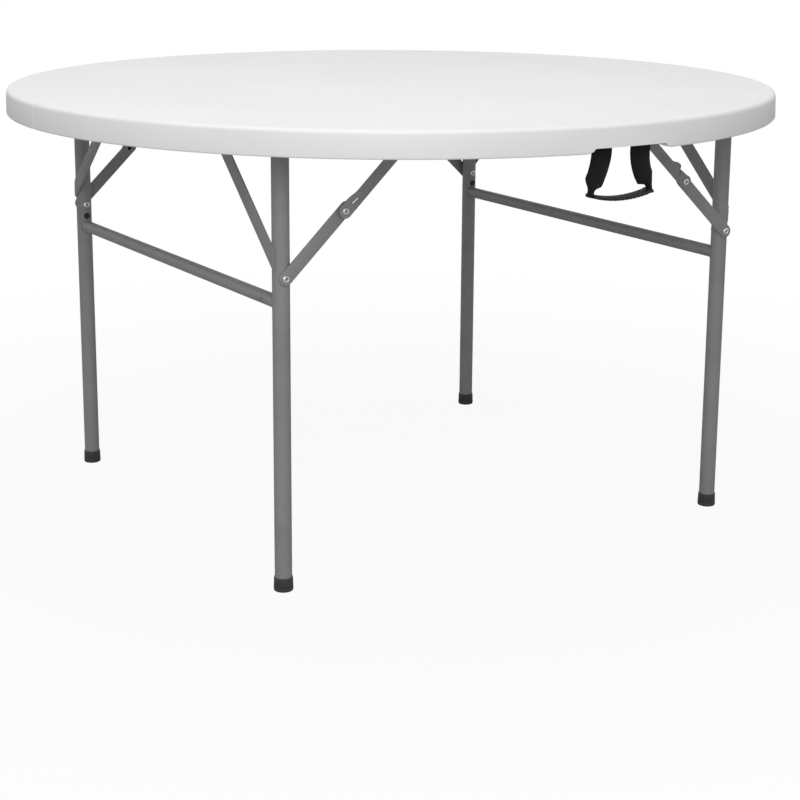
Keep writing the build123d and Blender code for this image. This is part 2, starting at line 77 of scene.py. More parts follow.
legs = []
for side, hand in ((-1, "left"), (1, "right")):
    for out, place in ((1, "far"), (-1, "near")):
        legs.append({
            "tag": place + "_" + hand,
            "hand": hand,
            "side": side,
            "out": out,
            "x": side * LEG_X,
            "y": -side * LEG_SHIFT + out * LEG_HALF_WIDTH,
        })
print("legs at", [(round(leg["x"], 3), round(leg["y"], 3)) for leg in legs])

# %% [markdown]
# ## The camera first
#
# The photograph was taken from a little above the table top, some 33
# degrees round from the square view, with a long lens. The lens is shifted
# a little, so that the camera can look down less steeply and the legs stay
# almost upright, as in the picture.

# %% Camera
CAMERA_TURN = 0.5673
CAMERA_PITCH = 0.22274
CAMERA_ROLL = -0.00539
CAMERA_DISTANCE = 2.83826
CAMERA_HEIGHT = 0.97071
FOCAL_PIXELS = 1750.8219
PICTURE_PIXELS = 800


def shown(name, data):
    """An object for some data, in the scene and at the origin."""
    item = bpy.data.objects.new(name, data)
    bpy.context.collection.objects.link(item)
    return item


camera_data = bpy.data.cameras.new("camera")
camera = shown("camera", camera_data)
bpy.context.scene.camera = camera
ahead = Vector((math.sin(CAMERA_TURN), math.cos(CAMERA_TURN), 0))
forward = ahead * math.cos(CAMERA_PITCH) - Vector((0, 0, math.sin(CAMERA_PITCH)))
right = Vector((math.cos(CAMERA_TURN), -math.sin(CAMERA_TURN), 0))
upward = right.cross(forward)
rolled_right = right * math.cos(CAMERA_ROLL) - upward * math.sin(CAMERA_ROLL)
rolled_up = upward * math.cos(CAMERA_ROLL) + right * math.sin(CAMERA_ROLL)
stand = Matrix((rolled_right, rolled_up, -forward)).transposed().to_4x4()
stand.translation = Vector((-CAMERA_DISTANCE * math.sin(CAMERA_TURN),
                            -CAMERA_DISTANCE * math.cos(CAMERA_TURN), CAMERA_HEIGHT))
camera.matrix_world = stand
camera_data.sensor_width = 36
camera_data.lens = FOCAL_PIXELS / PICTURE_PIXELS * 36
camera_data.shift_x = 0.01275
camera_data.shift_y = -0.1325
camera_data.clip_start = 0.05
camera_data.clip_end = 60
print("camera at", [round(value, 3) for value in camera.location])

# %% [markdown]
# ## Finishes
#
# Every finish here is worked out by nodes from the position on the object,
# so it needs no picture. A helper adds a node and sets its sockets by name,
# which keeps each finish short enough to read as a recipe.

# %% Helpers for finishes
def new_finish(name, colour, sockets):
    """A material whose constant values sit on the shader's own sockets."""
    finish = bpy.data.materials.new(name)
    finish.use_nodes = True
    shader = finish.node_tree.nodes["Principled BSDF"]
    shader.inputs["Base Color"].default_value = (*colour, 1)
    for label, value in sockets.items():
        shader.inputs[label].default_value = value
    finish.diffuse_color = (*colour, 1)
    return finish, finish.node_tree, shader


def add(tree, kind, inputs=None, **settings):
    """One node, with its settings and the values of its sockets."""
    node = tree.nodes.new(kind)
    for key, value in settings.items():
        setattr(node, key, value)
    for key, value in (inputs or {}).items():
        if isinstance(value, bpy.types.NodeSocket):
            tree.links.new(value, node.inputs[key])
        else:
            node.inputs[key].default_value = value
    return node


def maths(tree, operation, first, second):
    """Two values added, multiplied or compared."""
    return add(tree, "ShaderNodeMath", {0: first, 1: second}, operation=operation).outputs[0]


def length(tree, vector):
    """How far a place is from the origin."""
    return add(tree, "ShaderNodeVectorMath", {0: vector}, operation="LENGTH").outputs["Value"]


def object_place(tree):
    """Position on the object in metres."""
    return add(tree, "ShaderNodeTexCoord").outputs["Object"]


def speckle(tree, vector, scale, detail, rough):
    """Even noise from 0 to 1 at so many grains a metre."""
    return add(tree, "ShaderNodeTexNoise", {
        "Vector": vector, "Scale": scale, "Detail": detail, "Roughness": rough,
    }).outputs["Fac"]


def spread(tree, value, low, high, start=0.3, stop=0.7):
    """A value of start to stop drawn out to low to high."""
    return add(tree, "ShaderNodeMapRange", {
        "Value": value, "From Min": start, "From Max": stop, "To Min": low, "To Max": high,
    }).outputs["Result"]


def tint(tree, shader, factor, dark, light):
    """Base colour that drifts between two tints."""
    blend = add(tree, "ShaderNodeMix", {
        "Factor": factor, "A": (*dark, 1), "B": (*light, 1),
    }, data_type="RGBA")
    tree.links.new(blend.outputs["Result"], shader.inputs["Base Color"])


def dull(tree, shader, value, low, high):
    """Roughness that follows a noise between two limits."""
    tree.links.new(spread(tree, value, low, high), shader.inputs["Roughness"])


def relief(tree, shader, height, depth, strength):
    """Fine relief from a height of 0 to 1 and a depth in metres."""
    bump = add(tree, "ShaderNodeBump", {"Height": height, "Distance": depth, "Strength": strength})
    tree.links.new(bump.outputs["Normal"], shader.inputs["Normal"])


print("finish helpers ready")

# %% [markdown]
# ## White moulded plastic
#
# Blow-moulded polyethylene has a fine leathery grain on top, so that it
# doesn't glare, and a smoother band where the edge rolls over the rim. Two
# noises of about 1 and 3 mm make the grain. A ramp on the distance from the
# middle fades it out on the rim, and a slow noise gives the slight clouding
# of a wall that is thicker in some places.

# %% Finish of the top
def make_white_plastic():
    finish, tree, shader = new_finish("white_moulded_plastic", (0.84, 0.84, 0.835), {
        "Roughness": 0.46, "Specular IOR Level": 0.45,
        "Subsurface Weight": 0.06, "Subsurface Radius": (0.006, 0.006, 0.005),
    })
    here = object_place(tree)
    apart = add(tree, "ShaderNodeSeparateXYZ", {"Vector": here}).outputs
    flat = add(tree, "ShaderNodeCombineXYZ", {"X": apart["X"], "Y": apart["Y"]}).outputs["Vector"]
    grain_share = spread(tree, length(tree, flat), 1.0, 0.22, 0.592, 0.603)
    fine = speckle(tree, here, 950, 2.0, 0.55)
    coarse = speckle(tree, here, 330, 3.0, 0.5)
    grain = maths(tree, "MULTIPLY", maths(tree, "ADD", fine, coarse), grain_share)
    relief(tree, shader, grain, 0.00022, 0.5)
    cloud = spread(tree, speckle(tree, here, 3.2, 3.0, 0.6), 0, 1)
    tint(tree, shader, cloud, (0.815, 0.815, 0.812), (0.85, 0.85, 0.846))
    dull(tree, shader, coarse, 0.40, 0.54)
    return finish


white_plastic = make_white_plastic()
print("made", white_plastic.name)

# %% [markdown]
# ## Grey powder coat
#
# The tubes and strips are sprayed with a grey powder that melts into a skin
# with a faint orange peel. It is a mid grey with a broad soft highlight: a
# noise of about 2 mm gives the peel, a finer one the grit.

# %% Finish of the steelwork
def make_powder_grey():
    finish, tree, shader = new_finish("grey_powder_coat", (0.22, 0.22, 0.222), {"Roughness": 0.48})
    here = object_place(tree)
    peel = speckle(tree, here, 420, 2.0, 0.5)
    grit = speckle(tree, here, 1700, 1.0, 0.5)
    relief(tree, shader, maths(tree, "ADD", peel, grit), 0.00018, 0.5)
    drift = spread(tree, speckle(tree, here, 14, 4.0, 0.6), 0, 1)
    tint(tree, shader, drift, (0.226, 0.226, 0.229), (0.264, 0.264, 0.266))
    dull(tree, shader, peel, 0.40, 0.56)
    return finish


powder_grey = make_powder_grey()
print("made", powder_grey.name)

# %% [markdown]
# ## Zinc, rubber and black plastic
#
# Rivets, screws and hinges are plated, so they are the only bright metal on
# the table. The feet are a dull moulded rubber, and the plugs a harder
# plastic with a low gloss. Zinc and rubber share one recipe, with their own
# numbers in it.

# %% Finishes of the small parts
def patchy(name, colour, sockets, grain, bump, patch, tints, gloss):
    """A fine grain in relief, and slow patches in the colour and the gloss."""
    finish, tree, shader = new_finish(name, colour, sockets)
    here = object_place(tree)
    relief(tree, shader, speckle(tree, here, *grain), *bump)
    slow = speckle(tree, here, *patch)
    tint(tree, shader, spread(tree, slow, 0, 1), *tints)
    dull(tree, shader, slow, *gloss)
    return finish


def make_black_plastic():
    finish, tree, shader = new_finish("black_plastic", (0.013, 0.013, 0.014), {
        "Roughness": 0.38, "Specular IOR Level": 0.35,
    })
    grain = speckle(tree, object_place(tree), 1500, 2.0, 0.5)
    relief(tree, shader, grain, 0.00007, 0.5)
    dull(tree, shader, grain, 0.33, 0.48)
    return finish


zinc = patchy("zinc_plate", (0.62, 0.62, 0.61), {"Roughness": 0.30, "Metallic": 1.0},
              grain=(900, 3.0, 0.6), bump=(0.00006, 0.5), patch=(120, 3.0, 0.6),
              tints=((0.50, 0.50, 0.50), (0.70, 0.70, 0.69)), gloss=(0.24, 0.42))
rubber = patchy("foot_rubber", (0.030, 0.030, 0.031), {"Roughness": 0.62},
                grain=(1300, 3.0, 0.6), bump=(0.00012, 0.6), patch=(60, 4.0, 0.65),
                tints=((0.024, 0.024, 0.025), (0.040, 0.040, 0.041)), gloss=(0.55, 0.72))
black_plastic = make_black_plastic()
print("made", zinc.name, rubber.name, black_plastic.name)

# %% [markdown]
# ## Woven webbing
#
# The carrying strap is black polypropylene webbing. The weave has to run
# along the strap wherever it bends, so this finish reads the strap's own UV
# map, which is laid out in metres. Two crossed waves make the over and
# under of the yarns.

# %% Finish of the strap
def make_webbing():
    black = (0.003, 0.003, 0.003)
    finish, tree, shader = new_finish("black_webbing", black, {
        "Roughness": 0.82, "Sheen Weight": 0.05, "Sheen Roughness": 0.4,
        "Specular IOR Level": 0.22,
    })
    lay = add(tree, "ShaderNodeUVMap", uv_map="weave").outputs["UV"]
    waves = []
    for bands, way in ((105.0, "X"), (78.0, "Y")):
        wave = add(tree, "ShaderNodeTexWave", {"Vector": lay, "Scale": bands, "Distortion": 0.0},
                   wave_type="BANDS", bands_direction=way)
        waves.append(wave.outputs["Fac"])
    yarn = maths(tree, "MULTIPLY", *waves)
    fuzz = speckle(tree, object_place(tree), 2600, 2.0, 0.6)
    relief(tree, shader, maths(tree, "ADD", yarn, fuzz), 0.0006, 0.8)
    tint(tree, shader, spread(tree, yarn, 0, 1, 0.0, 0.9), black, (0.011, 0.011, 0.012))
    return finish


webbing = make_webbing()
print("made", webbing.name)

# %% [markdown]
# Each piece belongs to one of the measured model's bodies, so that it moves
# # with the right joint. One helper hangs it on its body and hides the plain
# # solids that it takes the place of.


def dress(piece, body, nodes=()):
    """Hang a finished piece on its body, in place of its plain solids if it has any."""
    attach(piece, body)
    if nodes:
        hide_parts(*nodes)


# %% [markdown]
# ## Helpers for meshes
#
# Most hard pieces here are either turned about an axis or cut from sheet.
# All of them end in the same way: doubled points are merged, faces turned
# outwards, and each edge is marked crisp or smooth, because a smooth surface
# with a few crisp edges looks machined and an all-smooth one looks melted.

# %% Make an object from a mesh
def mark_crisp(work, crisp):
    """Smooth faces, with each edge that bends by so many degrees kept crisp."""
    limit = math.radians(crisp)
    for face in work.faces:
        face.smooth = True
    for edge in work.edges:
        edge.smooth = len(edge.link_faces) == 2 and edge.calc_face_angle(0) < limit


def mesh_piece(name, work, finish, crisp=32):
    """Finish a bmesh as an object at the origin."""
    bmesh.ops.remove_doubles(work, verts=work.verts, dist=1e-6)
    bmesh.ops.recalc_face_normals(work, faces=work.faces)
    mark_crisp(work, crisp)
    data = bpy.data.meshes.new(name)
    work.to_mesh(data)
    work.free()
    data.materials.append(finish)
    return shown(name, data)


def frame_at(origin, z_axis, x_axis=(0, 0, 1)):
    """A place whose Z looks along z_axis and whose X is near x_axis."""
    z = Vector(z_axis).normalized()
    hint = Vector(x_axis)
    if abs(hint.normalized().dot(z)) > 0.99:
        hint = Vector((1, 0, 0))
    x = (hint - z * hint.dot(z)).normalized()
    spot = Matrix((x, z.cross(x), z)).transposed().to_4x4()
    spot.translation = Vector(origin)
    return spot


print("mesh helpers ready")

# %% [markdown]
# A lathe makes a rivet, a plug or a foot from half of its outline. The
# helper does the same: it turns a profile of radius and height about Z, and
# closes it with a single point where the profile touches the axis.

# %% Turned shapes
def arc(centre_x, centre_y, radius, start, stop, steps=12):
    """Points of an arc, angles in degrees."""
    points = []
    for step in range(steps + 1):
        angle = math.radians(start + (stop - start) * step / steps)
        points.append((centre_x + radius * math.cos(angle), centre_y + radius * math.sin(angle)))
    return points


def ring_of(work, radius, height, steps):
    """Corners round Z at one height, or a single one on the axis."""
    if radius < 1e-7:
        return [work.verts.new((0, 0, height))]
    ring = []
    for step in range(steps):
        angle = 2 * math.pi * step / steps
        ring.append(work.verts.new((radius * math.cos(angle), radius * math.sin(angle), height)))
    return ring


def turn_profile(work, profile, steps, place):
    """Turn a profile of (radius, height) points about Z and set it in place."""
    rings = [ring_of(work, radius, height, steps) for radius, height in profile]
    for lower, upper in zip(rings, rings[1:]):
        for step in range(steps):
            after = (step + 1) % steps
            corners = [lower[step % len(lower)], lower[after % len(lower)],
                       upper[after % len(upper)], upper[step % len(upper)]]
            face = list(dict.fromkeys(corners))
            if len(face) > 2:
                work.faces.new(face)
    bmesh.ops.transform(work, matrix=place, verts=[vert for ring in rings for vert in ring])


def turned(name, profile, steps, finish, place=Matrix(), crisp=32):
    """A piece that is one turned profile."""
    work = bmesh.new()
    turn_profile(work, profile, steps, place)
    return mesh_piece(name, work, finish, crisp)


print("points of a quarter arc", len(arc(0, 0, 1, 0, 90)))

# %% [markdown]
# Sheet metal starts as a flat outline. It is thickened between two copies of
# that outline, and a small bevel eases the edges that the press would round.

# %% Boxes and sheet
SHEET_EASE = 0.0006


def walls(work, lower, upper):
    """Faces between two closed rings with as many corners each."""
    for step in range(len(lower)):
        after = (step + 1) % len(lower)
        work.faces.new((lower[step], lower[after], upper[after], upper[step]))


def prism(work, lower_points, upper_points):
    """A closed shape between two outlines with as many corners each."""
    lower = [work.verts.new(point) for point in lower_points]
    upper = [work.verts.new(point) for point in upper_points]
    work.faces.new(lower)
    work.faces.new(upper)
    walls(work, lower, upper)


def box_into(work, low, high):
    """A plain box between two corners."""
    verts = []
    for x in (low[0], high[0]):
        for y in (low[1], high[1]):
            verts += [work.verts.new((x, y, z)) for z in (low[2], high[2])]
    for face in ((0, 1, 3, 2), (4, 6, 7, 5), (0, 4, 5, 1), (2, 3, 7, 6), (0, 2, 6, 4), (1, 5, 7, 3)):
        work.faces.new([verts[index] for index in face])


def sheet_metal(work, outline, thickness, place, ease=SHEET_EASE):
    """Cut an outline from sheet, ease its edges and set it in place."""
    before = set(work.verts)
    prism(work, [(x, y, 0) for x, y in outline], [(x, y, thickness) for x, y in outline])
    rims = []
    for edge in work.edges:
        a, b = edge.verts
        if a not in before and b not in before and abs(a.co.z - b.co.z) < 1e-9:
            rims.append(edge)
    new_faces = [face for face in work.faces if face.verts[0] not in before]
    bmesh.ops.recalc_face_normals(work, faces=new_faces)
    bmesh.ops.bevel(work, geom=rims, offset=ease, segments=2, profile=0.6, affect="EDGES")
    made = [vert for vert in work.verts if vert not in before]
    bmesh.ops.transform(work, matrix=place, verts=made)


def cut_sheet(name, outline, thickness, place, ease=SHEET_EASE):
    """A piece that is one sheet."""
    work = bmesh.new()
    sheet_metal(work, outline, thickness, place, ease)
    return mesh_piece(name, work, powder_grey)


print("sheet edges eased by", SHEET_EASE * 1000, "mm")

# %% [markdown]
# A Boolean modifier or a node tree leaves its result live. A finished piece
# is a plain mesh, so a helper evaluates the object once and keeps what it
# finds, and the edges are marked again after a cut.

# %% Helpers that keep a result
def settle(piece, name, spent=()):
    """Turn an object with modifiers into a plain mesh object."""
    bpy.context.view_layer.update()
    view = bpy.context.evaluated_depsgraph_get()
    data = bpy.data.meshes.new_from_object(piece.evaluated_get(view))
    for old in [piece, *spent]:
        bpy.data.objects.remove(old, do_unlink=True)
    data.name = name
    return shown(name, data)


def combine(piece, other, name, operation="DIFFERENCE", crossing=False):
    """Cut another piece from this one, or join it on."""
    step = piece.modifiers.new("combine", "BOOLEAN")
    step.operation = operation
    step.solver = "EXACT"
    step.use_self = crossing
    step.object = other
    return settle(piece, name, [other])


def recrease(piece, crisp=30):
    """Mark the crisp edges again after a cut."""
    work = bmesh.new()
    work.from_mesh(piece.data)
    mark_crisp(work, crisp)
    work.to_mesh(piece.data)
    work.free()


print("helpers that keep a result ready")

# %% [markdown]
# ## The two halves of the top
#
# A half is a turned shape: a flat skin, an edge that rolls over with a soft
# radius, a rim with a little draft, and a hollow underneath. It is turned
# through half a circle only and closed by a flat wall at the fold line. The
# profile has one more ring a little inside the rolled edge, which keeps the
# shading of the big flat skin even.

# %% Turn the halves
EDGE_ROLL = 0.0060
LOWER_ROLL = 0.0026
RIM_DRAFT = 0.0012
INNER_FILLET = 0.0025
FILLET_INSET = 0.0040
LIP_EASE = 0.0012
HALF_STEPS = 144
HALF_ROUND = Matrix.Rotation(math.pi, 4, "Z")


def rolled_edge():
    """Profile of the half from its underside, round the rim, to its top."""
    inner = TOP_RADIUS - RIM_WALL
    points = [(inner - FILLET_INSET, UNDERSIDE_Z)]
    points += arc(inner - FILLET_INSET, UNDERSIDE_Z - INNER_FILLET, INNER_FILLET, 90, 0, 4)
    points += [(inner, RIM_Z + LIP_EASE), (inner + LIP_EASE, RIM_Z)]
    points += arc(TOP_RADIUS - LOWER_ROLL, RIM_Z + LOWER_ROLL, LOWER_ROLL, -90, 0, 6)
    points += [(TOP_RADIUS - 0.0009, TOP_Z - EDGE_ROLL - 0.0015)]
    points += arc(TOP_RADIUS - RIM_DRAFT - EDGE_ROLL, TOP_Z - EDGE_ROLL, EDGE_ROLL, 4, 90, 12)
    return points + [(TOP_RADIUS - 0.0210, TOP_Z)]


def half_turned(name):
    """The +Y half, before its rail, pits and seam are cut."""
    work = bmesh.new()
    rings = []
    for step in range(HALF_STEPS + 1):
        angle = math.pi * step / HALF_STEPS
        c, s = math.cos(angle), math.sin(angle)
        rings.append([work.verts.new((radius * c, radius * s, z)) for radius, z in rolled_edge()])
    low = work.verts.new((0, 0, UNDERSIDE_Z))
    high = work.verts.new((0, 0, TOP_Z))
    for this, after in zip(rings, rings[1:]):
        for corners in zip(this, after, after[1:], this[1:]):
            work.faces.new(corners)
    work.faces.new([low] + [ring[0] for ring in rings])
    work.faces.new([high] + [ring[-1] for ring in rings])
    work.faces.new([low, *rings[0], high])
    work.faces.new([low, *rings[-1], high])
    return mesh_piece(name, work, white_plastic)


shells = {word: half_turned("top_shell_" + word) for word in ("far", "near")}
shells["near"].data.transform(HALF_ROUND)
print("half", len(shells["far"].data.polygons), "faces")

# %% [markdown]
# ## The moulded pits
#
# Under the top, rows of hexagonal pits press the lower skin against the
# upper one, which is what makes a hollow top stiff. They repeat by a rule,
# so Geometry Nodes make them: a six-sided cone is set on each point, and
# the whole field is cut from the half in one go. The points skip the places
# where a bracket, a hanger or the strap needs flat plastic.

# %% Points of the pits
BRACE_REACH = 0.194
RAIL_WIDTH = 0.030
PIT_RADIUS = 0.017
PIT_ROW = 0.072
PIT_COLUMN = 0.084
PIT_GAP = 0.016
FLAT_MARGIN = 0.008


def needs_flat(x, y):
    """True where something is screwed to the underside, Y away from the fold."""
    reach = PIT_RADIUS + FLAT_MARGIN
    flats = [(LEG_X, MIDDLE_BRACKET_Y, 0.033, 0.013)]
    for leg_y in (LEG_HALF_WIDTH - LEG_SHIFT, LEG_HALF_WIDTH + LEG_SHIFT):
        flats.append((LEG_X, leg_y - BRACKET_INSET, 0.033, 0.013))
        flats.append((LEG_X - BRACE_REACH, leg_y + 0.025, 0.013, 0.024))
    for flat_x, flat_y, half_x, half_y in flats:
        if abs(abs(x) - flat_x) < half_x + reach and abs(y - flat_y) < half_y + reach:
            return True
    return abs(x) < STRAP_OUT + WEBBING_WIDTH / 2 + reach and y > -HANDLE_Y - 0.030 - reach


def pit_points():
    """Staggered rows of points on the underside of the +Y half."""
    points = []
    inner = TOP_RADIUS - RIM_WALL
    for row in range(int((inner - RAIL_WIDTH) / PIT_ROW)):
        y = RAIL_WIDTH + PIT_RADIUS + PIT_GAP + row * PIT_ROW
        for column in range(-7, 8):
            x = (column + 0.5 * (row % 2)) * PIT_COLUMN
            if math.hypot(x, y) <= inner - 2 * PIT_RADIUS and not needs_flat(x, y):
                points.append((x, y, UNDERSIDE_Z))
    return points


pits = pit_points()
print("pits in a half", len(pits))

# %% [markdown]
# The node tree takes the pit's width, depth and draft as named inputs, so
# another top could reuse it. It ends with Realize Instances, because an
# instance isn't real geometry yet and couldn't cut anything. Two helpers
# hold what every tree in this lesson shares: its inputs and its end.

# %% Node tree that sets a pit on every point
def new_tree(name, result, inputs):
    """A tree, the identifiers of its named inputs, and the sockets at both ends."""
    tree = bpy.data.node_groups.new(name, "GeometryNodeTree")
    names = {}
    for label, (kind, value) in inputs.items():
        item = tree.interface.new_socket(label, in_out="INPUT", socket_type="NodeSocket" + kind)
        if value is not None:
            item.default_value = value
        names[label] = item.identifier
    tree.interface.new_socket(result, in_out="OUTPUT", socket_type="NodeSocketGeometry")
    start = tree.nodes.new("NodeGroupInput").outputs
    end = tree.nodes.new("NodeGroupOutput").inputs[result]
    return tree, names, start, end


def end_tree(tree, geometry, finish, end, smooth=False):
    """Make every copy real, give it its finish and send it out."""
    real = add(tree, "GeometryNodeRealizeInstances", {"Geometry": geometry}).outputs["Geometry"]
    if smooth:
        real = add(tree, "GeometryNodeSetShadeSmooth", {"Geometry": real}).outputs["Geometry"]
    dressed = add(tree, "GeometryNodeSetMaterial", {"Geometry": real, "Material": finish})
    tree.links.new(dressed.outputs["Geometry"], end)


def make_pit_tree():
    tree, names, start, end = new_tree("pit field", "Pits", {
        "Points": ("Geometry", None), "Width": ("Float", 0.017), "Depth": ("Float", 0.011),
        "Floor": ("Float", 0.013), "Finish": ("Material", None),
    })
    cone = add(tree, "GeometryNodeMeshCone", {
        "Vertices": 6, "Radius Top": start["Floor"],
        "Radius Bottom": start["Width"], "Depth": start["Depth"],
    })
    placed = add(tree, "GeometryNodeInstanceOnPoints", {
        "Points": start["Points"], "Instance": cone.outputs["Mesh"],
    })
    end_tree(tree, placed.outputs["Instances"], start["Finish"], end)
    return tree, names


pit_tree, pit_inputs = make_pit_tree()
print("pit tree inputs", list(pit_inputs))

# %% Run a tree on a set of points
def points_object(name, points, facings=None):
    """Loose points, with the way each one faces kept as an attribute."""
    data = bpy.data.meshes.new(name)
    data.from_pydata([tuple(point) for point in points], [], [])
    if facings is not None:
        facing = data.attributes.new("facing", "FLOAT_VECTOR", "POINT")
        for item, way in zip(facing.data, facings):
            item.vector = tuple(way)
    return shown(name, data)


def grow(name, holder, tree, names, values):
    """Run a tree on an object and keep the result as a plain mesh."""
    step = holder.modifiers.new("grow", "NODES")
    step.node_group = tree
    for label, value in values.items():
        step[names[label]] = value
    return settle(holder, name)


def pit_field(name):
    """All the pits of the +Y half, a hair below the skin that they are cut from."""
    field = grow(name, points_object(name, pits), pit_tree, pit_inputs, {
        "Width": PIT_RADIUS, "Floor": 0.0129, "Depth": 0.0112, "Finish": white_plastic,
    })
    field.data.transform(Matrix.Translation((0, 0, -0.0002)))
    return field


fields = {word: pit_field("pits_" + word) for word in shells}
fields["near"].data.transform(HALF_ROUND)
print("pit field", len(fields["far"].data.polygons), "faces")

# %% [markdown]
# ## Rail, fold line and notch
#
# A flat rail runs along the fold line on each half, with gaps where the
# tubes cross it. The halves meet in a hairline, whose corners are eased
# where it comes out at the rim, and the near half has a shallow notch in
# its lower edge, over the carrying strap.

# %% Cutters of the halves
HALF_GAP = 0.0003
NOTCH_HALF = 0.072
NICKS = (
    # inset from the rim, size, and the two heights that it runs between
    (0.0007, 0.0013, RIM_Z - 0.002, TOP_Z + 0.002),
    (0.0022, 0.0036, TOP_Z - 0.0050, TOP_Z + 0.002),
    (0, 0.0026, RIM_Z - 0.002, RIM_Z + 0.0045),
)


def make_rail(side):
    """Blocks of rail, with the lower edges eased."""
    work = bmesh.new()
    inner = TOP_RADIUS - RIM_WALL - 0.002
    folded_bar_x = LEG_X - (PIVOT_Z - CROSSBAR_Z)
    gap = TUBE_RADIUS + 0.0025
    stops = [-inner]
    for x in (-LEG_X, -folded_bar_x, folded_bar_x, LEG_X):
        stops += [x - gap, x + gap]
    stops.append(inner)
    near, far = sorted((side * HALF_GAP, side * RAIL_WIDTH))
    for start, stop in zip(stops[::2], stops[1::2]):
        box_into(work, (start, near, RIM_Z), (stop, far, UNDERSIDE_Z + 0.002))
    bottom = [e for e in work.edges if all(abs(v.co.z - RIM_Z) < 1e-6 for v in e.verts)]
    bmesh.ops.bevel(work, geom=bottom, offset=0.0012, segments=2, profile=0.6, affect="EDGES")
    return mesh_piece("rail", work, white_plastic)


def seam_cutter(side):
    """A box that trims a half back to a hair short of the fold line."""
    work = bmesh.new()
    near, far = sorted((HALF_GAP * side, -0.05 * side))
    box_into(work, (-0.7, near, 0.60), (0.7, far, 0.70))
    return mesh_piece("seam_cutter", work, white_plastic)


def nick_cutter(inset, size, low, high):
    """Upright diamonds that ease the corners where the fold line meets the rim."""
    work = bmesh.new()
    for x in (inset - TOP_RADIUS, TOP_RADIUS - inset):
        turn_profile(work, [(0, low), (size, low), (size, high), (0, high)], 4,
                     Matrix.Translation((x, 0, 0)))
    return mesh_piece("nicks", work, white_plastic)


def notch_cutter():
    """A shallow block with round ends, for the near half's lower edge."""
    work = bmesh.new()
    left, right = HANDLE_X - NOTCH_HALF, HANDLE_X + NOTCH_HALF
    outline = [(left, RIM_Z - 0.003), (right, RIM_Z - 0.003), (right, RIM_Z)]
    outline += arc(HANDLE_X + 0.058, RIM_Z + 0.001, 0.006, 20, 90, 5)
    outline += arc(HANDLE_X - 0.058, RIM_Z + 0.001, 0.006, 90, 160, 5)
    outline += [(left, RIM_Z)]
    prism(work, [(x, -TOP_RADIUS - 0.01, z) for x, z in outline],
          [(x, -TOP_RADIUS + RIM_WALL + 0.008, z) for x, z in outline])
    return mesh_piece("notch_cutter", work, white_plastic)


print("nicks at each end of the fold line", len(NICKS))

# %% Cut the halves
for side, word in ((1, "far"), (-1, "near")):
    name = "top_shell_" + word
    piece = combine(shells[word], make_rail(side), name, "UNION")
    cutters = [fields[word], seam_cutter(side)] + [nick_cutter(*nick) for nick in NICKS]
    if word == "near":
        cutters.append(notch_cutter())
    for cutter in cutters:
        piece = combine(piece, cutter, name)
    recrease(piece, 24)
    piece.data.materials.clear()
    piece.data.materials.append(white_plastic)
    dress(piece, "top", ["top_half_" + word])
    shells[word] = piece
print({word: len(piece.data.polygons) for word, piece in shells.items()})

# %% [markdown]
# ## Steel tubes
#
# Legs, pivot tubes and crossbars are plain round tube. They are turned with
# enough sides to look round close up, and each joint gets a weld bead. The
# bead follows the curve where two tubes meet, so it is made by a node tree
# that sweeps a small circle along that curve and lets it swell a little at
# random, as a hand-laid weld does.

# %% Weld bead tree
def make_weld_tree():
    tree, names, start, end = new_tree("weld bead", "Weld", {
        "Path": ("Geometry", None), "Bead": ("Float", 0.0015), "Ripple": ("Float", 420.0),
        "Steps": ("Int", 72), "Finish": ("Material", None),
    })
    curve = add(tree, "GeometryNodeMeshToCurve", {"Mesh": start["Path"]})
    even = add(tree, "GeometryNodeResampleCurve", {
        "Curve": curve.outputs["Curve"], "Count": start["Steps"],
    })
    noise = add(tree, "ShaderNodeTexNoise", {"Scale": start["Ripple"], "Detail": 1.0})
    swell = spread(tree, noise.outputs["Fac"], 0.75, 1.2)
    ring = add(tree, "GeometryNodeCurvePrimitiveCircle", {"Resolution": 8, "Radius": start["Bead"]})
    sweep = add(tree, "GeometryNodeCurveToMesh", {
        "Curve": even.outputs["Curve"], "Profile Curve": ring.outputs["Curve"],
        "Scale": swell, "Fill Caps": True,
    })
    end_tree(tree, sweep.outputs["Mesh"], start["Finish"], end, smooth=True)
    return tree, names


def lay_weld(name, body, path, closed, bead, steps):
    """A weld bead along a line of points, hung on its body."""
    count = len(path)
    edges = [(n, (n + 1) % count) for n in range(count if closed else count - 1)]
    data = bpy.data.meshes.new("weld_path")
    data.from_pydata([tuple(point) for point in path], edges, [])
    weld = grow(name, shown("weld_path", data), weld_tree, weld_inputs, {
        "Bead": bead, "Ripple": 420.0, "Steps": steps, "Finish": powder_grey,
    })
    dress(weld, body)


weld_tree, weld_inputs = make_weld_tree()
print("weld tree inputs", list(weld_inputs))

# %% [markdown]
# The crossbar is closed at both ends by its welds, so it has a small vent
# hole through its outer wall, near the front leg. The cutter also hollows
# the bar behind that wall, because the hole should look dark.

# %% Tubes of each leg pair
VENT_INWARD = 0.028
VENT_HOLE = [(0, -0.015), (0.0045, -0.015), (0.0045, -0.0021), (0.0021, -0.0012),
             (0.0021, 0.010), (0, 0.010)]
VENT_BURR = [(0.0021, -0.0009), (0.0031, -0.0009), (0.0031, -0.0002), (0.0028, 0.0001),
             (0.0023, 0.0002), (0.0021, 0.0), (0.0021, -0.0009)]


def tube(name, radius, start, end, steps=48):
    """A round bar between two points, closed and eased at its ends."""
    way = Vector(end) - Vector(start)
    ease = 0.0004
    profile = [(0, 0), (radius - ease, 0), (radius, ease), (radius, way.length - ease),
               (radius - ease, way.length), (0, way.length)]
    return turned(name, profile, steps, powder_grey, frame_at(start, way))


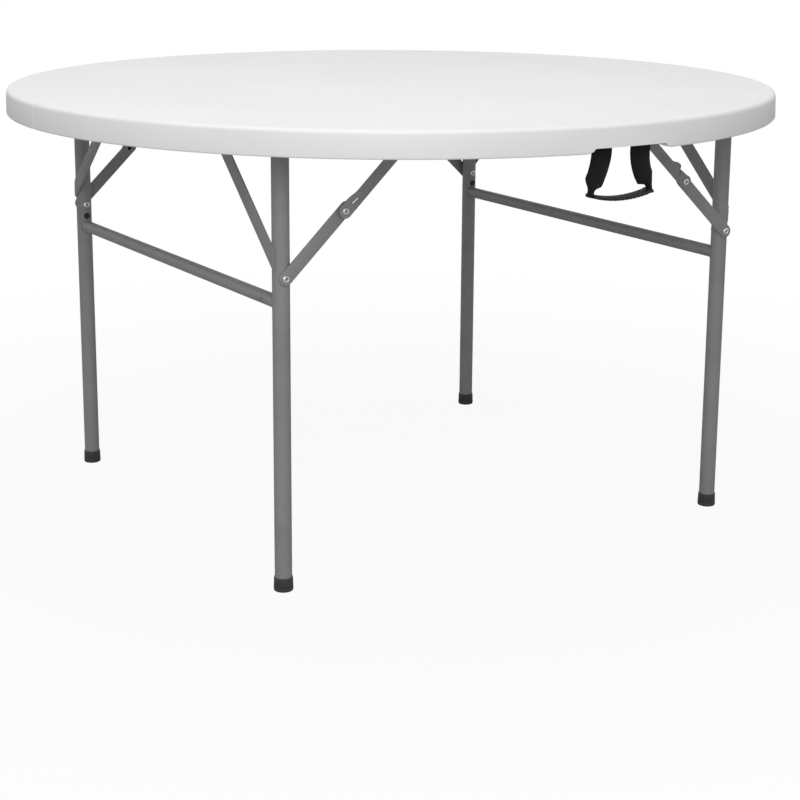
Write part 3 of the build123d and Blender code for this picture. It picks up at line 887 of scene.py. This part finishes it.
def weld_points(leg):
    """Where the crossbar meets the leg, and where the leg meets its pivot tube."""
    bar = []
    pivot = []
    for step in range(48):
        angle = 2 * math.pi * step / 48
        c, s = math.cos(angle), math.sin(angle)
        x = CROSSBAR_RADIUS * c
        y = math.sqrt(TUBE_RADIUS ** 2 - x ** 2)
        bar.append((leg["x"] + x * 1.03, leg["y"] - leg["out"] * (y + 0.0003),
                    CROSSBAR_Z + CROSSBAR_RADIUS * s * 1.03))
        x = TUBE_RADIUS * c
        z = -math.sqrt(max(TUBE_RADIUS ** 2 - x ** 2, 0))
        pivot.append((leg["x"] + x, leg["y"] + TUBE_RADIUS * s, PIVOT_Z + z - 0.0003))
    return bar, pivot


for side, hand in ((-1, "left"), (1, "right")):
    pair = [leg for leg in legs if leg["hand"] == hand]
    body = "legs_" + hand
    low_y, high_y = sorted(leg["y"] for leg in pair)
    x = side * LEG_X
    pivot_tube = tube("round_pivot_tube_" + hand, TUBE_RADIUS,
                      (x, low_y - TUBE_RADIUS, PIVOT_Z), (x, high_y + TUBE_RADIUS, PIVOT_Z))
    dress(pivot_tube, body, ["pivot_tube_" + hand])
    bar = tube("round_crossbar_" + hand, CROSSBAR_RADIUS,
               (x, low_y + 0.006, CROSSBAR_Z), (x, high_y - 0.006, CROSSBAR_Z), 40)
    wall = frame_at((x + side * CROSSBAR_RADIUS, low_y + TUBE_RADIUS + VENT_INWARD, CROSSBAR_Z),
                    (side, 0, 0))
    bar = combine(bar, turned("vent_hole", VENT_HOLE, 24, powder_grey, wall), bar.name)
    recrease(bar)
    dress(bar, body, ["crossbar_" + hand])
    dress(turned("vent_burr_" + hand, VENT_BURR, 28, powder_grey, wall), body)
    for leg in pair:
        upright = tube("round_leg_" + leg["tag"], TUBE_RADIUS,
                       (x, leg["y"], 0.004), (x, leg["y"], PIVOT_Z))
        dress(upright, body, ["leg_" + leg["tag"]])
        for word, path in zip(("bar_", "pivot_"), weld_points(leg)):
            lay_weld("weld_" + word + leg["tag"], body, path, True, 0.0015, 72)
print("tubes and welds done")

# %% [markdown]
# ## Strips of sheet steel
#
# The corner braces and the folding braces are stamped from 2.5 mm strip. An
# outline is drawn flat, thickened, and its edges are eased by 0.6 mm, which
# is what catches the light on a stamped edge. The upper link is wider at
# the knee, where its lock is: a lobe with a hooked slot on one brace of a
# pair, and a slot along the strip on the other.

# %% Outlines of the strips
BRACE_RIVET_Z = 0.459
LOWER_SHARE = 0.4774
KNEE_RADIUS = 0.0105
STRIP = 0.0025
STRIP_HALF = 0.0065
CORNER_FOOT_Z = 0.488
CORNER_CLIMB = 0.95238
CORNER_WIDTH = 0.023
CORNER_END = 0.0033
TONGUE = ((0.0170, -0.0004), (0.0215, -0.0004), (0.0245, 0.0062), (0.0200, 0.0062))


def slot_outline(start, stop, radius):
    """A straight strip or slot with two round ends."""
    return arc(stop, 0, radius, -90, 90, 14) + arc(start, 0, radius, 90, 270, 14)


def upper_outline(length, up, hooked):
    """Outline of the upper link from its knee at 0 to its hanger at length."""
    meet = math.degrees(math.asin(STRIP_HALF / KNEE_RADIUS))
    points = arc(length, 0, KNEE_RADIUS, -90, 180 - meet, 18)
    if hooked:
        points += [(0.0450, STRIP_HALF), (0.0425, 0.0069), (0.0398, 0.0086),
                   (0.0362, 0.0108), (0.0330, 0.0121)]
        points += arc(0.0294, 0.0064, 0.0062, 80, 176, 10)
        points += arc(0.0193, 0.0008, 0.0012, -28, -208, 8)
        points += [(0.0217, 0.0074)]
        points += arc(0, 0, KNEE_RADIUS, 62, 270, 18)
    else:
        points += [(0.0340, STRIP_HALF), (0.0300, 0.0069), (0.0180, 0.0094),
                   (0.0160, 0.0098), (0.0140, 0.0099)]
        points += arc(0, 0, KNEE_RADIUS, 71, 270, 18)
    if up < 0:
        points = [(px, -py) for px, py in reversed(points)]
    return points


def rounded(corners, radius, steps=5):
    """A polygon with every corner turned into a small arc."""
    points = []
    for number, corner in enumerate(corners):
        here = Vector(corner)
        before = (Vector(corners[number - 1]) - here).normalized()
        after = (Vector(corners[(number + 1) % len(corners)]) - here).normalized()
        half = before.angle(after) / 2
        centre = here + (before + after).normalized() * (radius / math.sin(half))
        start = here + before * (radius / math.tan(half)) - centre
        stop = here + after * (radius / math.tan(half)) - centre
        for step in range(steps + 1):
            spot = start.lerp(stop, step / steps).normalized() * radius
            points.append(tuple(centre + spot))
    return points


def corner_outline():
    """Corner brace: X runs inward from the leg's axis and Y is the height."""
    half = CORNER_WIDTH / 2 * math.hypot(1, CORNER_CLIMB)
    head = PIVOT_Z + CORNER_END
    low = CORNER_FOOT_Z - CORNER_CLIMB * CORNER_END
    corners = [(-CORNER_END, low - half), (-CORNER_END, low + half)]
    corners += [((head - CORNER_FOOT_Z - half) / CORNER_CLIMB, head),
                ((head - CORNER_FOOT_Z + half) / CORNER_CLIMB, head)]
    return rounded(corners, 0.003)


brace_rise = PIVOT_Z - BRACE_RIVET_Z
brace_length = math.hypot(BRACE_REACH, brace_rise)
lower_length = brace_length * LOWER_SHARE
upper_length = brace_length - lower_length
print("links", round(lower_length * 1000, 1), round(upper_length * 1000, 1), "mm")

# %% [markdown]
# A folding brace is a stack of thin parts on the outer side of its leg, with
# a hair of air between those that turn on each other. The stack is worked
# out once, as steps outward from the leg's axis. The rivets are only noted
# here, by the body that they ride on, and set later in one go.

# %% Stack of a brace
LOWER_FACE = TUBE_RADIUS + 0.00015
LOWER_OUTER = LOWER_FACE + STRIP
UPPER_FACE = LOWER_OUTER + 0.0026
UPPER_OUTER = UPPER_FACE + STRIP
HANGER_FACE = UPPER_OUTER + 0.0003
HANGER_OUTER = HANGER_FACE + 0.003
CORNER_FACE = 0.0117
CORNER_BEAD = 0.0130
CORNER_WELDS = (
    # how far inward from the leg's axis and how high each end of a bead is
    ((-0.0036, 0.4723), (-0.0036, 0.4975)),
    ((0.1492, 0.6446), (0.1778, 0.6446)),
)
rivet_spots = {}
print("a brace reaches", round((HANGER_OUTER - TUBE_RADIUS) * 1000, 2), "mm out from its leg")

# %% Helpers for the braces
def rivet_at(group, point, out):
    """Note where a rivet goes and which way along Y it faces."""
    rivet_spots.setdefault(group, []).append((Vector(point), Vector((0, out, 0))))


def upper_link(name, place, hooked):
    """The upper link, with the tongue of its hooked slot or with its long slot."""
    up = 1 if place.to_3x3().col[1].z > 0 else -1
    work = bmesh.new()
    sheet_metal(work, upper_outline(upper_length, up, hooked), STRIP, place)
    if hooked:
        sheet_metal(work, [(px, py * up) for px, py in TONGUE], 0.0010, place, 0.0001)
        return mesh_piece(name, work, powder_grey)
    link = mesh_piece(name, work, powder_grey)
    lay = (place @ Matrix.Translation((0.0207, -0.0009 * up, -0.003))
           @ Matrix.Rotation(-0.14 * up, 4, "Z"))
    slot = cut_sheet("lock_slot", slot_outline(-0.0052, 0.0052, 0.0011), 0.009, lay, 0.0002)
    link = combine(link, slot, name)
    recrease(link)
    return link


print("points round an upper link", len(upper_outline(upper_length, 1, True)))

# %% Braces of every leg
for leg in legs:
    x, y, side, out, tag = leg["x"], leg["y"], leg["side"], leg["out"], leg["tag"]
    body = "legs_" + leg["hand"]
    knee_x = x - side * BRACE_REACH * LOWER_SHARE
    knee_z = BRACE_RIVET_Z + brace_rise * LOWER_SHARE
    hang_x = x - side * BRACE_REACH
    along = (-side * BRACE_REACH, 0, brace_rise)

    lower = cut_sheet("lower_brace_" + tag, slot_outline(0, lower_length + 0.005, 0.010), STRIP,
                      frame_at((x, y + out * LOWER_FACE, BRACE_RIVET_Z), (0, out, 0), along))
    dress(lower, "lower_link_" + tag, ["lower_link_" + tag])
    upper = upper_link("upper_brace_" + tag, frame_at((knee_x, y + out * UPPER_FACE, knee_z),
                       (0, out, 0), along), side * out < 0)
    dress(upper, "upper_link_" + tag, ["upper_link_" + tag])

    plane = frame_at((x + side * CORNER_FACE, y, 0), (side, 0, 0), (0, -out, 0))
    tall = plane.to_3x3().col[1].z
    corner = cut_sheet("corner_strip_" + tag, [(px, pz * tall) for px, pz in corner_outline()],
                       STRIP, plane)
    dress(corner, body, ["corner_brace_" + tag])
    for number, ends in enumerate(CORNER_WELDS):
        start, stop = [Vector((x + side * CORNER_BEAD, y - out * inward, z)) for inward, z in ends]
        path = [start.lerp(stop, step / 12) for step in range(13)]
        lay_weld("weld_corner_" + str(number) + tag, body, path, False, 0.0014, 24)

    rivet_at(body, (x, y + out * LOWER_OUTER, BRACE_RIVET_Z), out)
    rivet_at(body + " tube", (x, y - out * TUBE_RADIUS, BRACE_RIVET_Z), -out)
    rivet_at("upper_link_" + tag, (knee_x, y + out * UPPER_OUTER, knee_z), out)
    rivet_at("top", (hang_x, y + out * HANGER_OUTER, PIVOT_Z), out)
    rivet_at("top", (hang_x, y + out * (UPPER_FACE - 0.00015), PIVOT_Z), -out)
print("rivets", {group: len(spots) for group, spots in rivet_spots.items()})

# %% [markdown]
# ## Rivets and screws
#
# These repeat dozens of times, so one tree serves them all: it takes loose
# points that know which way they face, sets a small turned head on each,
# and twists each by a random amount with a fixed seed, because no two
# screws end up with their slots in line.

# %% Tree that sets a head on every point
def make_head_tree():
    tree, names, start, end = new_tree("set heads", "Heads", {
        "Points": ("Geometry", None), "Head": ("Object", None), "Size": ("Float", 1.0),
        "Twist": ("Float", 6.283), "Seed": ("Int", 7), "Finish": ("Material", None),
    })
    head = add(tree, "GeometryNodeObjectInfo", {"Object": start["Head"]})
    facing = add(tree, "GeometryNodeInputNamedAttribute", {"Name": "facing"}, data_type="FLOAT_VECTOR")
    aimed = add(tree, "FunctionNodeAlignRotationToVector",
                {"Vector": facing.outputs["Attribute"]}, axis="Z")
    chance = add(tree, "FunctionNodeRandomValue", {"Seed": start["Seed"]}, data_type="FLOAT")
    most = [s for s in chance.inputs if s.name == "Max" and s.type == "VALUE"][0]
    tree.links.new(start["Twist"], most)
    amount = [s for s in chance.outputs if s.type == "VALUE" and s.enabled][0]
    twist = add(tree, "FunctionNodeAxisAngleToRotation", {"Axis": (0, 0, 1), "Angle": amount})
    turned_head = add(tree, "FunctionNodeRotateRotation", {
        "Rotation": aimed.outputs["Rotation"], "Rotate By": twist.outputs["Rotation"],
    }, rotation_space="LOCAL")
    placed = add(tree, "GeometryNodeInstanceOnPoints", {
        "Points": start["Points"], "Instance": head.outputs["Geometry"],
        "Rotation": turned_head.outputs["Rotation"], "Scale": start["Size"],
    })
    end_tree(tree, placed.outputs["Instances"], start["Finish"], end)
    return tree, names


def set_heads(name, points, ways, head, finish, size=1.0, twist=6.283, seed=7):
    """A head on every point, as one plain piece."""
    return grow(name, points_object("spots", points, ways), head_tree, head_inputs, {
        "Head": head, "Size": size, "Twist": twist, "Seed": seed, "Finish": finish,
    })


head_tree, head_inputs = make_head_tree()
print("head tree inputs", list(head_inputs))

# %% Turned rivet head and cross-recess screw
def rivet_head(skirt):
    """A tubular rivet: a rolled ring round an open bore, with a skirt below."""
    profile = [(0.0019, -skirt), (0.0055, -skirt), (0.0055, 0.0005), (0.0052, 0.0011),
               (0.0045, 0.0016), (0.0036, 0.0019), (0.0028, 0.0020), (0.0022, 0.0017),
               (0.0019, 0.0011), (0.0019, -skirt)]
    return turned("rivet_head", profile, 32, zinc, crisp=40)


def screw_head():
    """A pan head with a cross recess."""
    profile = [(0, -0.0002), (0.0040, -0.0002), (0.0040, 0.0007), (0.0036, 0.0013),
               (0.0026, 0.0017), (0, 0.0018)]
    head = turned("screw_head", profile, 28, zinc, crisp=40)
    work = bmesh.new()
    for half_x, half_y in ((0.0022, 0.0005), (0.0005, 0.0022)):
        box_into(work, (-half_x, -half_y, 0.0009), (half_x, half_y, 0.0030))
    head = combine(head, mesh_piece("cross", work, zinc), "screw_head", crossing=True)
    recrease(head, 35)
    return head


rivet_shape = rivet_head(0.0002)
tube_rivet_shape = rivet_head(0.0014)
screw_shape = screw_head()
print("rivet", len(rivet_shape.data.polygons), "screw", len(screw_shape.data.polygons), "faces")

# %% Places of the screws
SMALL_SCREW = 0.675
BRACKET_SCREW_X = 0.02445
HINGE_X = 0.459 * TOP_RADIUS
HINGE_SCREW_X = 0.028
HINGE_SCREW_Y = 0.0165
STRAP_SCREW_X = 0.00875
STRAP_SCREW_Y = HANDLE_Y + 0.0183
HANGER_SCREW_X = 0.0065
HANGER_SCREW_OUT = 0.017
screw_spots = []
for side in (-1, 1):
    centre = -side * LEG_SHIFT
    outer = LEG_HALF_WIDTH - BRACKET_INSET
    for y in (centre - outer, -MIDDLE_BRACKET_Y, MIDDLE_BRACKET_Y, centre + outer):
        for shift in (-BRACKET_SCREW_X, BRACKET_SCREW_X):
            screw_spots.append((side * LEG_X + shift, y, UNDERSIDE_Z - 0.0025))
for centre_x in (-HINGE_X, 0, HINGE_X):
    for y in (-HINGE_SCREW_Y, HINGE_SCREW_Y):
        for shift in (-HINGE_SCREW_X, 0, HINGE_SCREW_X):
            screw_spots.append((centre_x + shift, y, RIM_Z - 0.00175))
for side in (-1, 1):
    for shift in (-STRAP_SCREW_X, STRAP_SCREW_X):
        screw_spots.append((HANDLE_X + side * STRAP_OUT + shift, STRAP_SCREW_Y, UNDERSIDE_Z - 0.0037))
hanger_spots = []
for leg in legs:
    y = leg["y"] + leg["out"] * (HANGER_FACE + HANGER_SCREW_OUT)
    for shift in (-HANGER_SCREW_X, HANGER_SCREW_X):
        hanger_spots.append((leg["x"] - leg["side"] * BRACE_REACH + shift, y, UNDERSIDE_Z - 0.003))
print("screws", len(screw_spots), "small screws", len(hanger_spots))

# %% Set the rivets and screws
REPLACED_BY_RIVETS = {
    "top": ["hanger_rivets"],
    "legs_left": ["leg_rivets_left"],
    "legs_left tube": [],
    "legs_right": ["leg_rivets_right"],
    "legs_right tube": [],
}
for group, spots in rivet_spots.items():
    body = group.split()[0]
    heads = set_heads("rivets_" + group.replace(" ", "_"), *zip(*spots),
                      rivet_shape if body == group else tube_rivet_shape, zinc)
    dress(heads, body, REPLACED_BY_RIVETS.get(group, [body.replace("upper_link", "knee_rivet_head")]))
for name, spots, size, nodes in (
    ("screws", screw_spots, 1.0, ["bracket_screws", "hinge_screws", "handle_screws"]),
    ("small_screws", hanger_spots, SMALL_SCREW, ["hanger_screws"]),
):
    heads = set_heads(name, spots, [(0, 0, -1)] * len(spots), screw_shape, zinc, size, 1.57, 11)
    dress(heads, "top", nodes)
for shape in (rivet_shape, tube_rivet_shape, screw_shape):
    bpy.data.objects.remove(shape, do_unlink=True)
print("heads set")

# %% [markdown]
# ## Feet and plugs
#
# Each foot is a moulded cap that the tube stands in: a rounded sole, a wall
# with a little draft, and a lip. A small black plug closes a hole in the
# inner side of each leg, just above the crossbar, and larger ones close the
# ends of the pivot tubes.

# %% Rubber feet, side plugs and end plugs
FOOT = [(0, 0.0), (0.0121, 0.0), (0.0134, 0.0005), (0.0141, 0.0017), (0.01425, 0.0032),
        (0.01420, 0.0048), (0.01390, 0.0052), (0.01390, 0.0056), (0.01412, 0.0060),
        (0.01370, 0.0180), (0.01365, 0.0196), (0.01345, 0.0206), (0.0131, 0.0210),
        (0.01262, 0.0208), (0.01255, 0.0190), (0.01255, 0.0045), (0, 0.0045)]
SIDE_PLUG = [(0, 0), (0.0052, 0), (0.0052, 0.0015), (0.0049, 0.0019), (0.0042, 0.0021),
             (0.0036, 0.0018), (0, 0.0018)]
END_PLUG = [(0, -0.004), (0.0113, -0.004), (0.0113, 0.0), (0.0123, 0.0), (0.0123, 0.0010),
            (0.0116, 0.0015), (0.0060, 0.0015), (0, 0.0012)]
for leg in legs:
    foot = turned("rubber_foot_" + leg["tag"], FOOT, 48, rubber,
                  Matrix.Translation((leg["x"], leg["y"], 0)))
    dress(foot, "legs_" + leg["hand"], ["foot_" + leg["tag"]])
for hand in ("left", "right"):
    side_work = bmesh.new()
    end_work = bmesh.new()
    for leg in [leg for leg in legs if leg["hand"] == hand]:
        x, y, out = leg["x"], leg["y"], leg["out"]
        inner = (x, y - out * (TUBE_RADIUS - 0.0012), CROSSBAR_Z + 0.018)
        turn_profile(side_work, SIDE_PLUG, 28, frame_at(inner, (0, -out, 0)))
        outer = (x, y + out * TUBE_RADIUS, PIVOT_Z)
        turn_profile(end_work, END_PLUG, 40, frame_at(outer, (0, out, 0)))
    body = "legs_" + hand
    dress(mesh_piece("side_plugs_" + hand, side_work, black_plastic), body, ["leg_plugs_" + hand])
    dress(mesh_piece("end_caps_" + hand, end_work, black_plastic), body, ["tube_end_plugs_" + hand])
print("feet and plugs done")

# %% [markdown]
# ## The carrying strap
#
# Two ends of webbing are screwed flat under the top, turn down just inside
# the rim, and run to the grip. Just above the grip each one is drawn in and
# curls up, so that it fits inside the sleeve. Its cross section is an arc
# that closes: the helper below takes a width and an amount of curl at every
# point.

# %% Lines and sections of a ribbon
def smooth_step(value):
    """A soft rise from 0 to 1."""
    value = min(max(value, 0.0), 1.0)
    return value * value * (3 - 2 * value)


def curve_point(points, share):
    """A point on a smooth line through the given ones (Catmull-Rom)."""
    last = len(points) - 1
    spot = min(max(share, 0.0), 1.0) * last
    index = min(int(spot), last - 1)
    t = spot - index
    a = Vector(points[max(index - 1, 0)])
    b = Vector(points[index])
    c = Vector(points[index + 1])
    d = Vector(points[min(index + 2, last)])
    square = (2 * a - 5 * b + 4 * c - d) * t * t
    cube = (3 * b - a - 3 * c + d) * t ** 3
    return 0.5 * ((2 * b) + (c - a) * t + square + cube)


def section_point(width, curl, share):
    """Where a share of -0.5 to 0.5 of the width lies once it is curled."""
    if curl < 0.01:
        return share * width, 0.0, Vector((0, 1))
    radius = width / curl
    angle = share * curl
    centred = radius * (1 - math.cos(curl / 2)) / 2
    return (radius * math.sin(angle), radius * (math.cos(angle) - 1) + centred,
            Vector((math.sin(angle), math.cos(angle))))


print("half of a smooth step", smooth_step(0.5))

# %% Ribbon helper
STRAP_THICKNESS = 0.0020
ALONG_RIM = Vector((1, 0, 0))


def ribbon(name, path, width_at, curl_at, rows=48, columns=20):
    """A band of webbing along a path, with a UV map in metres for its weave."""
    work = bmesh.new()
    weave = work.loops.layers.uv.new("weave")
    grid = []
    run = 0.0
    before = curve_point(path, 0)
    for row in range(rows + 1):
        share = row / rows
        spot = curve_point(path, share)
        tangent = (curve_point(path, share + 0.01) - curve_point(path, share - 0.01)).normalized()
        way = (ALONG_RIM - tangent * ALONG_RIM.dot(tangent)).normalized()
        normal = tangent.cross(way)
        run += (spot - before).length
        before = spot
        line = []
        for column in range(columns + 1):
            across = column / columns - 0.5
            shift, rise, facing = section_point(width_at(share), curl_at(share), across)
            base = spot + way * shift + normal * rise
            thinning = 1 - 0.6 * abs(2 * across) ** 10
            lift = (way * facing.x + normal * facing.y) * STRAP_THICKNESS / 2 * thinning
            line.append((work.verts.new(base + lift), work.verts.new(base - lift),
                         (run, across * WEBBING_WIDTH)))
        grid.append(line)

    def quad(*corners):
        """A face whose corners are each a point of the grid and a side of the band."""
        face = work.faces.new([point[face_side] for point, face_side in corners])
        for loop, (point, face_side) in zip(face.loops, corners):
            loop[weave].uv = point[2]

    for this, after in zip(grid, grid[1:]):
        for a, b, c, d in zip(this, this[1:], after[1:], after):
            quad((a, 0), (b, 0), (c, 0), (d, 0))
            quad((d, 1), (c, 1), (b, 1), (a, 1))
        for a, b in ((this[0], after[0]), (this[-1], after[-1])):
            quad((a, 0), (b, 0), (b, 1), (a, 1))
    for line in (grid[0], grid[-1]):
        for a, b in zip(line, line[1:]):
            quad((a, 0), (b, 0), (b, 1), (a, 1))
    return mesh_piece(name, work, webbing, 50)


print("ribbon helper ready")

# %% Strap, from the underside to the grip
FALL = ((0.0335, 0, 0.0006), (0.0338, 0.0004, -0.0125), (0.0362, 0.0006, -0.0255),
        (0.0405, 0.0004, -0.0380), (0.0452, 0, -0.0465), (0.0488, 0, -0.0530),
        (0.0506, 0, -0.0590), (0.0506, 0, -0.0645))


def fall(side):
    """Centre line of one side from the turn at the top to inside the grip."""
    return [(HANDLE_X + side * dx, HANDLE_Y + dy, HANDLE_Z + dz) for dx, dy, dz in FALL]


def fall_width(share):
    """Width of the webbing, which is drawn in above the grip."""
    drawn_in = 0.0120 * smooth_step((share - 0.55) / 0.28)
    return WEBBING_WIDTH - 0.0020 * smooth_step(share / 0.5) - drawn_in


def fall_curl(share):
    """How far round its section curls, in radians."""
    return 0.15 + 1.05 * smooth_step(share / 0.55) + 4.5 * smooth_step((share - 0.52) / 0.30)


def tuck(side):
    """Centre line of the part that is screwed flat under the top."""
    bend = arc(-0.0038, 0.0062, 0.0038, 0, 90, 4)
    points = [(0.0, 0.0002), (0.0, 0.0012)] + [(-dy, dz) for dy, dz in bend][1:]
    points += [(0.0108, 0.0100), (0.0200, 0.0100), (0.0310, 0.0100)]
    return [(HANDLE_X + side * STRAP_OUT, HANDLE_Y + dy, HANDLE_Z + dz) for dy, dz in points]


for side, word in ((-1, "left"), (1, "right")):
    strap = ribbon("woven_strap_" + word, fall(side), fall_width, fall_curl)
    dress(strap, "handle", ["handle_strap_" + word])
    end = ribbon("strap_end_" + word, tuck(side), lambda share: WEBBING_WIDTH, lambda share: 0.0, 30)
    dress(end, "top", ["handle_strap_ends"])
print("strap falls", round((Vector(fall(1)[0]) - Vector(fall(1)[-1])).length * 1000), "mm a side")

# %% [markdown]
# The grip is a moulded sleeve on the webbing. It is a flat band with a
# slightly thicker lip at each end and a row of raised bars across its lower
# face. The sleeve is swept along its sagging line, and a node tree sets the
# bars along the same line.

# %% Sleeve of the grip
GRIP_Z = HANDLE_Z - 0.058 - 0.0055
GRIP_HALF = 0.0505
GRIP_SAG = 0.0065
GRIP_ROWS = 60
GRIP_SIDES = 24
TO_FRONT = Vector((0, -1, 0))


def grip_point(share):
    """Middle of the sleeve's section at a share of its length."""
    x = (share - 0.5) * 2 * GRIP_HALF
    sag = GRIP_SAG * (1 - (x / GRIP_HALF) ** 2)
    return Vector((HANDLE_X + x, HANDLE_Y, GRIP_Z - sag))


def grip_sleeve():
    """A flat rounded section, swept along the sagging line."""
    work = bmesh.new()
    rings = []
    for row in range(GRIP_ROWS + 1):
        share = row / GRIP_ROWS
        lip = 1.0 - 0.16 * smooth_step(min(share, 1 - share) / 0.045)
        half_y = 0.0110 * max(lip, 0.85)
        half_z = 0.0030 * (0.86 + 0.5 * (lip - 0.84))
        tangent = (grip_point(min(share + 0.01, 1)) - grip_point(max(share - 0.01, 0))).normalized()
        up = TO_FRONT.cross(tangent).normalized()
        ring = []
        for step in range(GRIP_SIDES):
            angle = 2 * math.pi * step / GRIP_SIDES
            c, s = math.cos(angle), math.sin(angle)
            y = half_y * math.copysign(abs(c) ** 0.45, c)
            z = half_z * math.copysign(abs(s) ** 0.45, s)
            ring.append(work.verts.new(grip_point(share) + Vector((0, y, 0)) + up * z))
        rings.append(ring)
    for this, after in zip(rings, rings[1:]):
        walls(work, this, after)
    work.faces.new(rings[0])
    work.faces.new(rings[-1])
    return mesh_piece("moulded_grip", work, black_plastic, 40)


dress(grip_sleeve(), "handle", ["handle_grip"])
print("grip", 2 * GRIP_HALF, "m long")

# %% Bars of the grip
BAR_COUNT = 13


def grip_bar():
    """One raised bar across the grip's lower face."""
    work = bmesh.new()
    box_into(work, (-0.0024, -0.0076, -0.0003), (0.0024, 0.0076, 0.0003))
    bmesh.ops.bevel(work, geom=list(work.edges), offset=0.0002, segments=1, affect="EDGES")
    return mesh_piece("grip_bar", work, black_plastic, 40)


bar_shape = grip_bar()
spots = []
ways = []
for number in range(BAR_COUNT):
    share = 0.10 + 0.80 * number / (BAR_COUNT - 1)
    tangent = (grip_point(share + 0.01) - grip_point(share - 0.01)).normalized()
    down = tangent.cross(TO_FRONT).normalized()
    if down.z > 0:
        down = -down
    spots.append(grip_point(share) + down * 0.0026)
    ways.append(down)
dress(set_heads("grip_bars", spots, ways, bar_shape, black_plastic, 1.0, 0.0, 3), "handle")
bpy.data.objects.remove(bar_shape, do_unlink=True)
print("grip bars", len(spots))

# %% [markdown]
# ## Pieces that keep their measured shape
#
# Brackets, hangers, hinges, plates, pins and knee rivets are right as they
# are. They only need a finish, put in their material slots.

# %% Finish the measured pieces
ZINC_NODES = ("pivot_brackets", "hinge_leaves", "hinge_pins", "handle_plates", "knee_rivet")
for node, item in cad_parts.items():
    finish = zinc if node.startswith(ZINC_NODES) else powder_grey
    if node.startswith("top_half"):
        finish = white_plastic
    item.data.materials.clear()
    item.data.materials.append(finish)
print("nodes finished", len(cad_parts))

# %% [markdown]
# ## Floor and light
#
# The picture is a cut-out on white with soft, even light from above and in
# front. A large pale floor shows pure white to the camera, but keeps a hint
# of the contact shadow round the feet. One broad lamp overhead makes the
# top bright and leaves the steel under it dark, and a second one, in front
# on the left, lights the legs and the rim.

# %% Floor
FLOOR_HALF = 9.0
WHITE = (1, 1, 1, 1)


def blend_shaders(tree, share, first, second):
    """The first shader where the share is 0 and the second where it is 1."""
    return add(tree, "ShaderNodeMixShader", {"Fac": share, 1: first, 2: second}).outputs["Shader"]


def make_floor():
    """A pale sheet that is white to the eye far off and open from below."""
    data = bpy.data.meshes.new("floor")
    corners = [(x * FLOOR_HALF, y * FLOOR_HALF, -0.0002) for x, y in ((-1, -1), (1, -1), (1, 1), (-1, 1))]
    data.from_pydata(corners, [], [(0, 1, 2, 3)])
    floor = shown("floor", data)
    finish, tree, shader = new_finish("pale_floor", (0.55, 0.55, 0.55), {"Roughness": 0.8})
    data.materials.append(finish)
    eye = add(tree, "ShaderNodeLightPath").outputs["Is Camera Ray"]
    white = add(tree, "ShaderNodeEmission", {"Color": WHITE, "Strength": 1.0}).outputs["Emission"]
    fade = spread(tree, length(tree, object_place(tree)), 0.93, 1.0, 0.7, 1.8)
    pale = blend_shaders(tree, maths(tree, "MULTIPLY", eye, fade), shader.outputs["BSDF"], white)
    behind = add(tree, "ShaderNodeNewGeometry").outputs["Backfacing"]
    clear = add(tree, "ShaderNodeBsdfTransparent").outputs["BSDF"]
    open_below = blend_shaders(tree, behind, pale, clear)
    tree.links.new(open_below, tree.nodes["Material Output"].inputs["Surface"])


make_floor()
print("floor", 2 * FLOOR_HALF, "m wide")

# %% World
FILL_STRENGTH = 0.37


def make_world():
    """A soft fill, which the eye and every gloss see as pure white."""
    world = bpy.data.worlds.new("studio")
    bpy.context.scene.world = world
    world.use_nodes = True
    tree = world.node_tree
    fill = tree.nodes["Background"]
    fill.inputs["Color"].default_value = WHITE
    fill.inputs["Strength"].default_value = FILL_STRENGTH
    white = add(tree, "ShaderNodeBackground", {"Color": WHITE, "Strength": 1.0})
    rays = add(tree, "ShaderNodeLightPath").outputs
    seen = maths(tree, "MAXIMUM", rays["Is Camera Ray"], rays["Is Glossy Ray"])
    both = blend_shaders(tree, seen, fill.outputs["Background"], white.outputs["Background"])
    tree.links.new(both, tree.nodes["World Output"].inputs["Surface"])


make_world()
print("world fill", FILL_STRENGTH)

# %% Lamps
def lamp(name, place, aim, size, power):
    """A square soft lamp at a place, turned to what it lights."""
    data = bpy.data.lights.new(name, "AREA")
    data.shape = "SQUARE"
    data.size = size
    data.energy = power
    item = shown(name, data)
    item.location = place
    item.rotation_euler = (Vector(aim) - Vector(place)).to_track_quat("-Z", "Y").to_euler()


lamp("overhead", (-0.5, -0.2, 3.2), (0, 0, 0.68), 2.8, 38)
lamp("front", (-1.9, -3.0, 2.3), (0, 0, 0.35), 2.0, 55)
bpy.context.scene.view_settings.view_transform = "Standard"
print("lamps done")
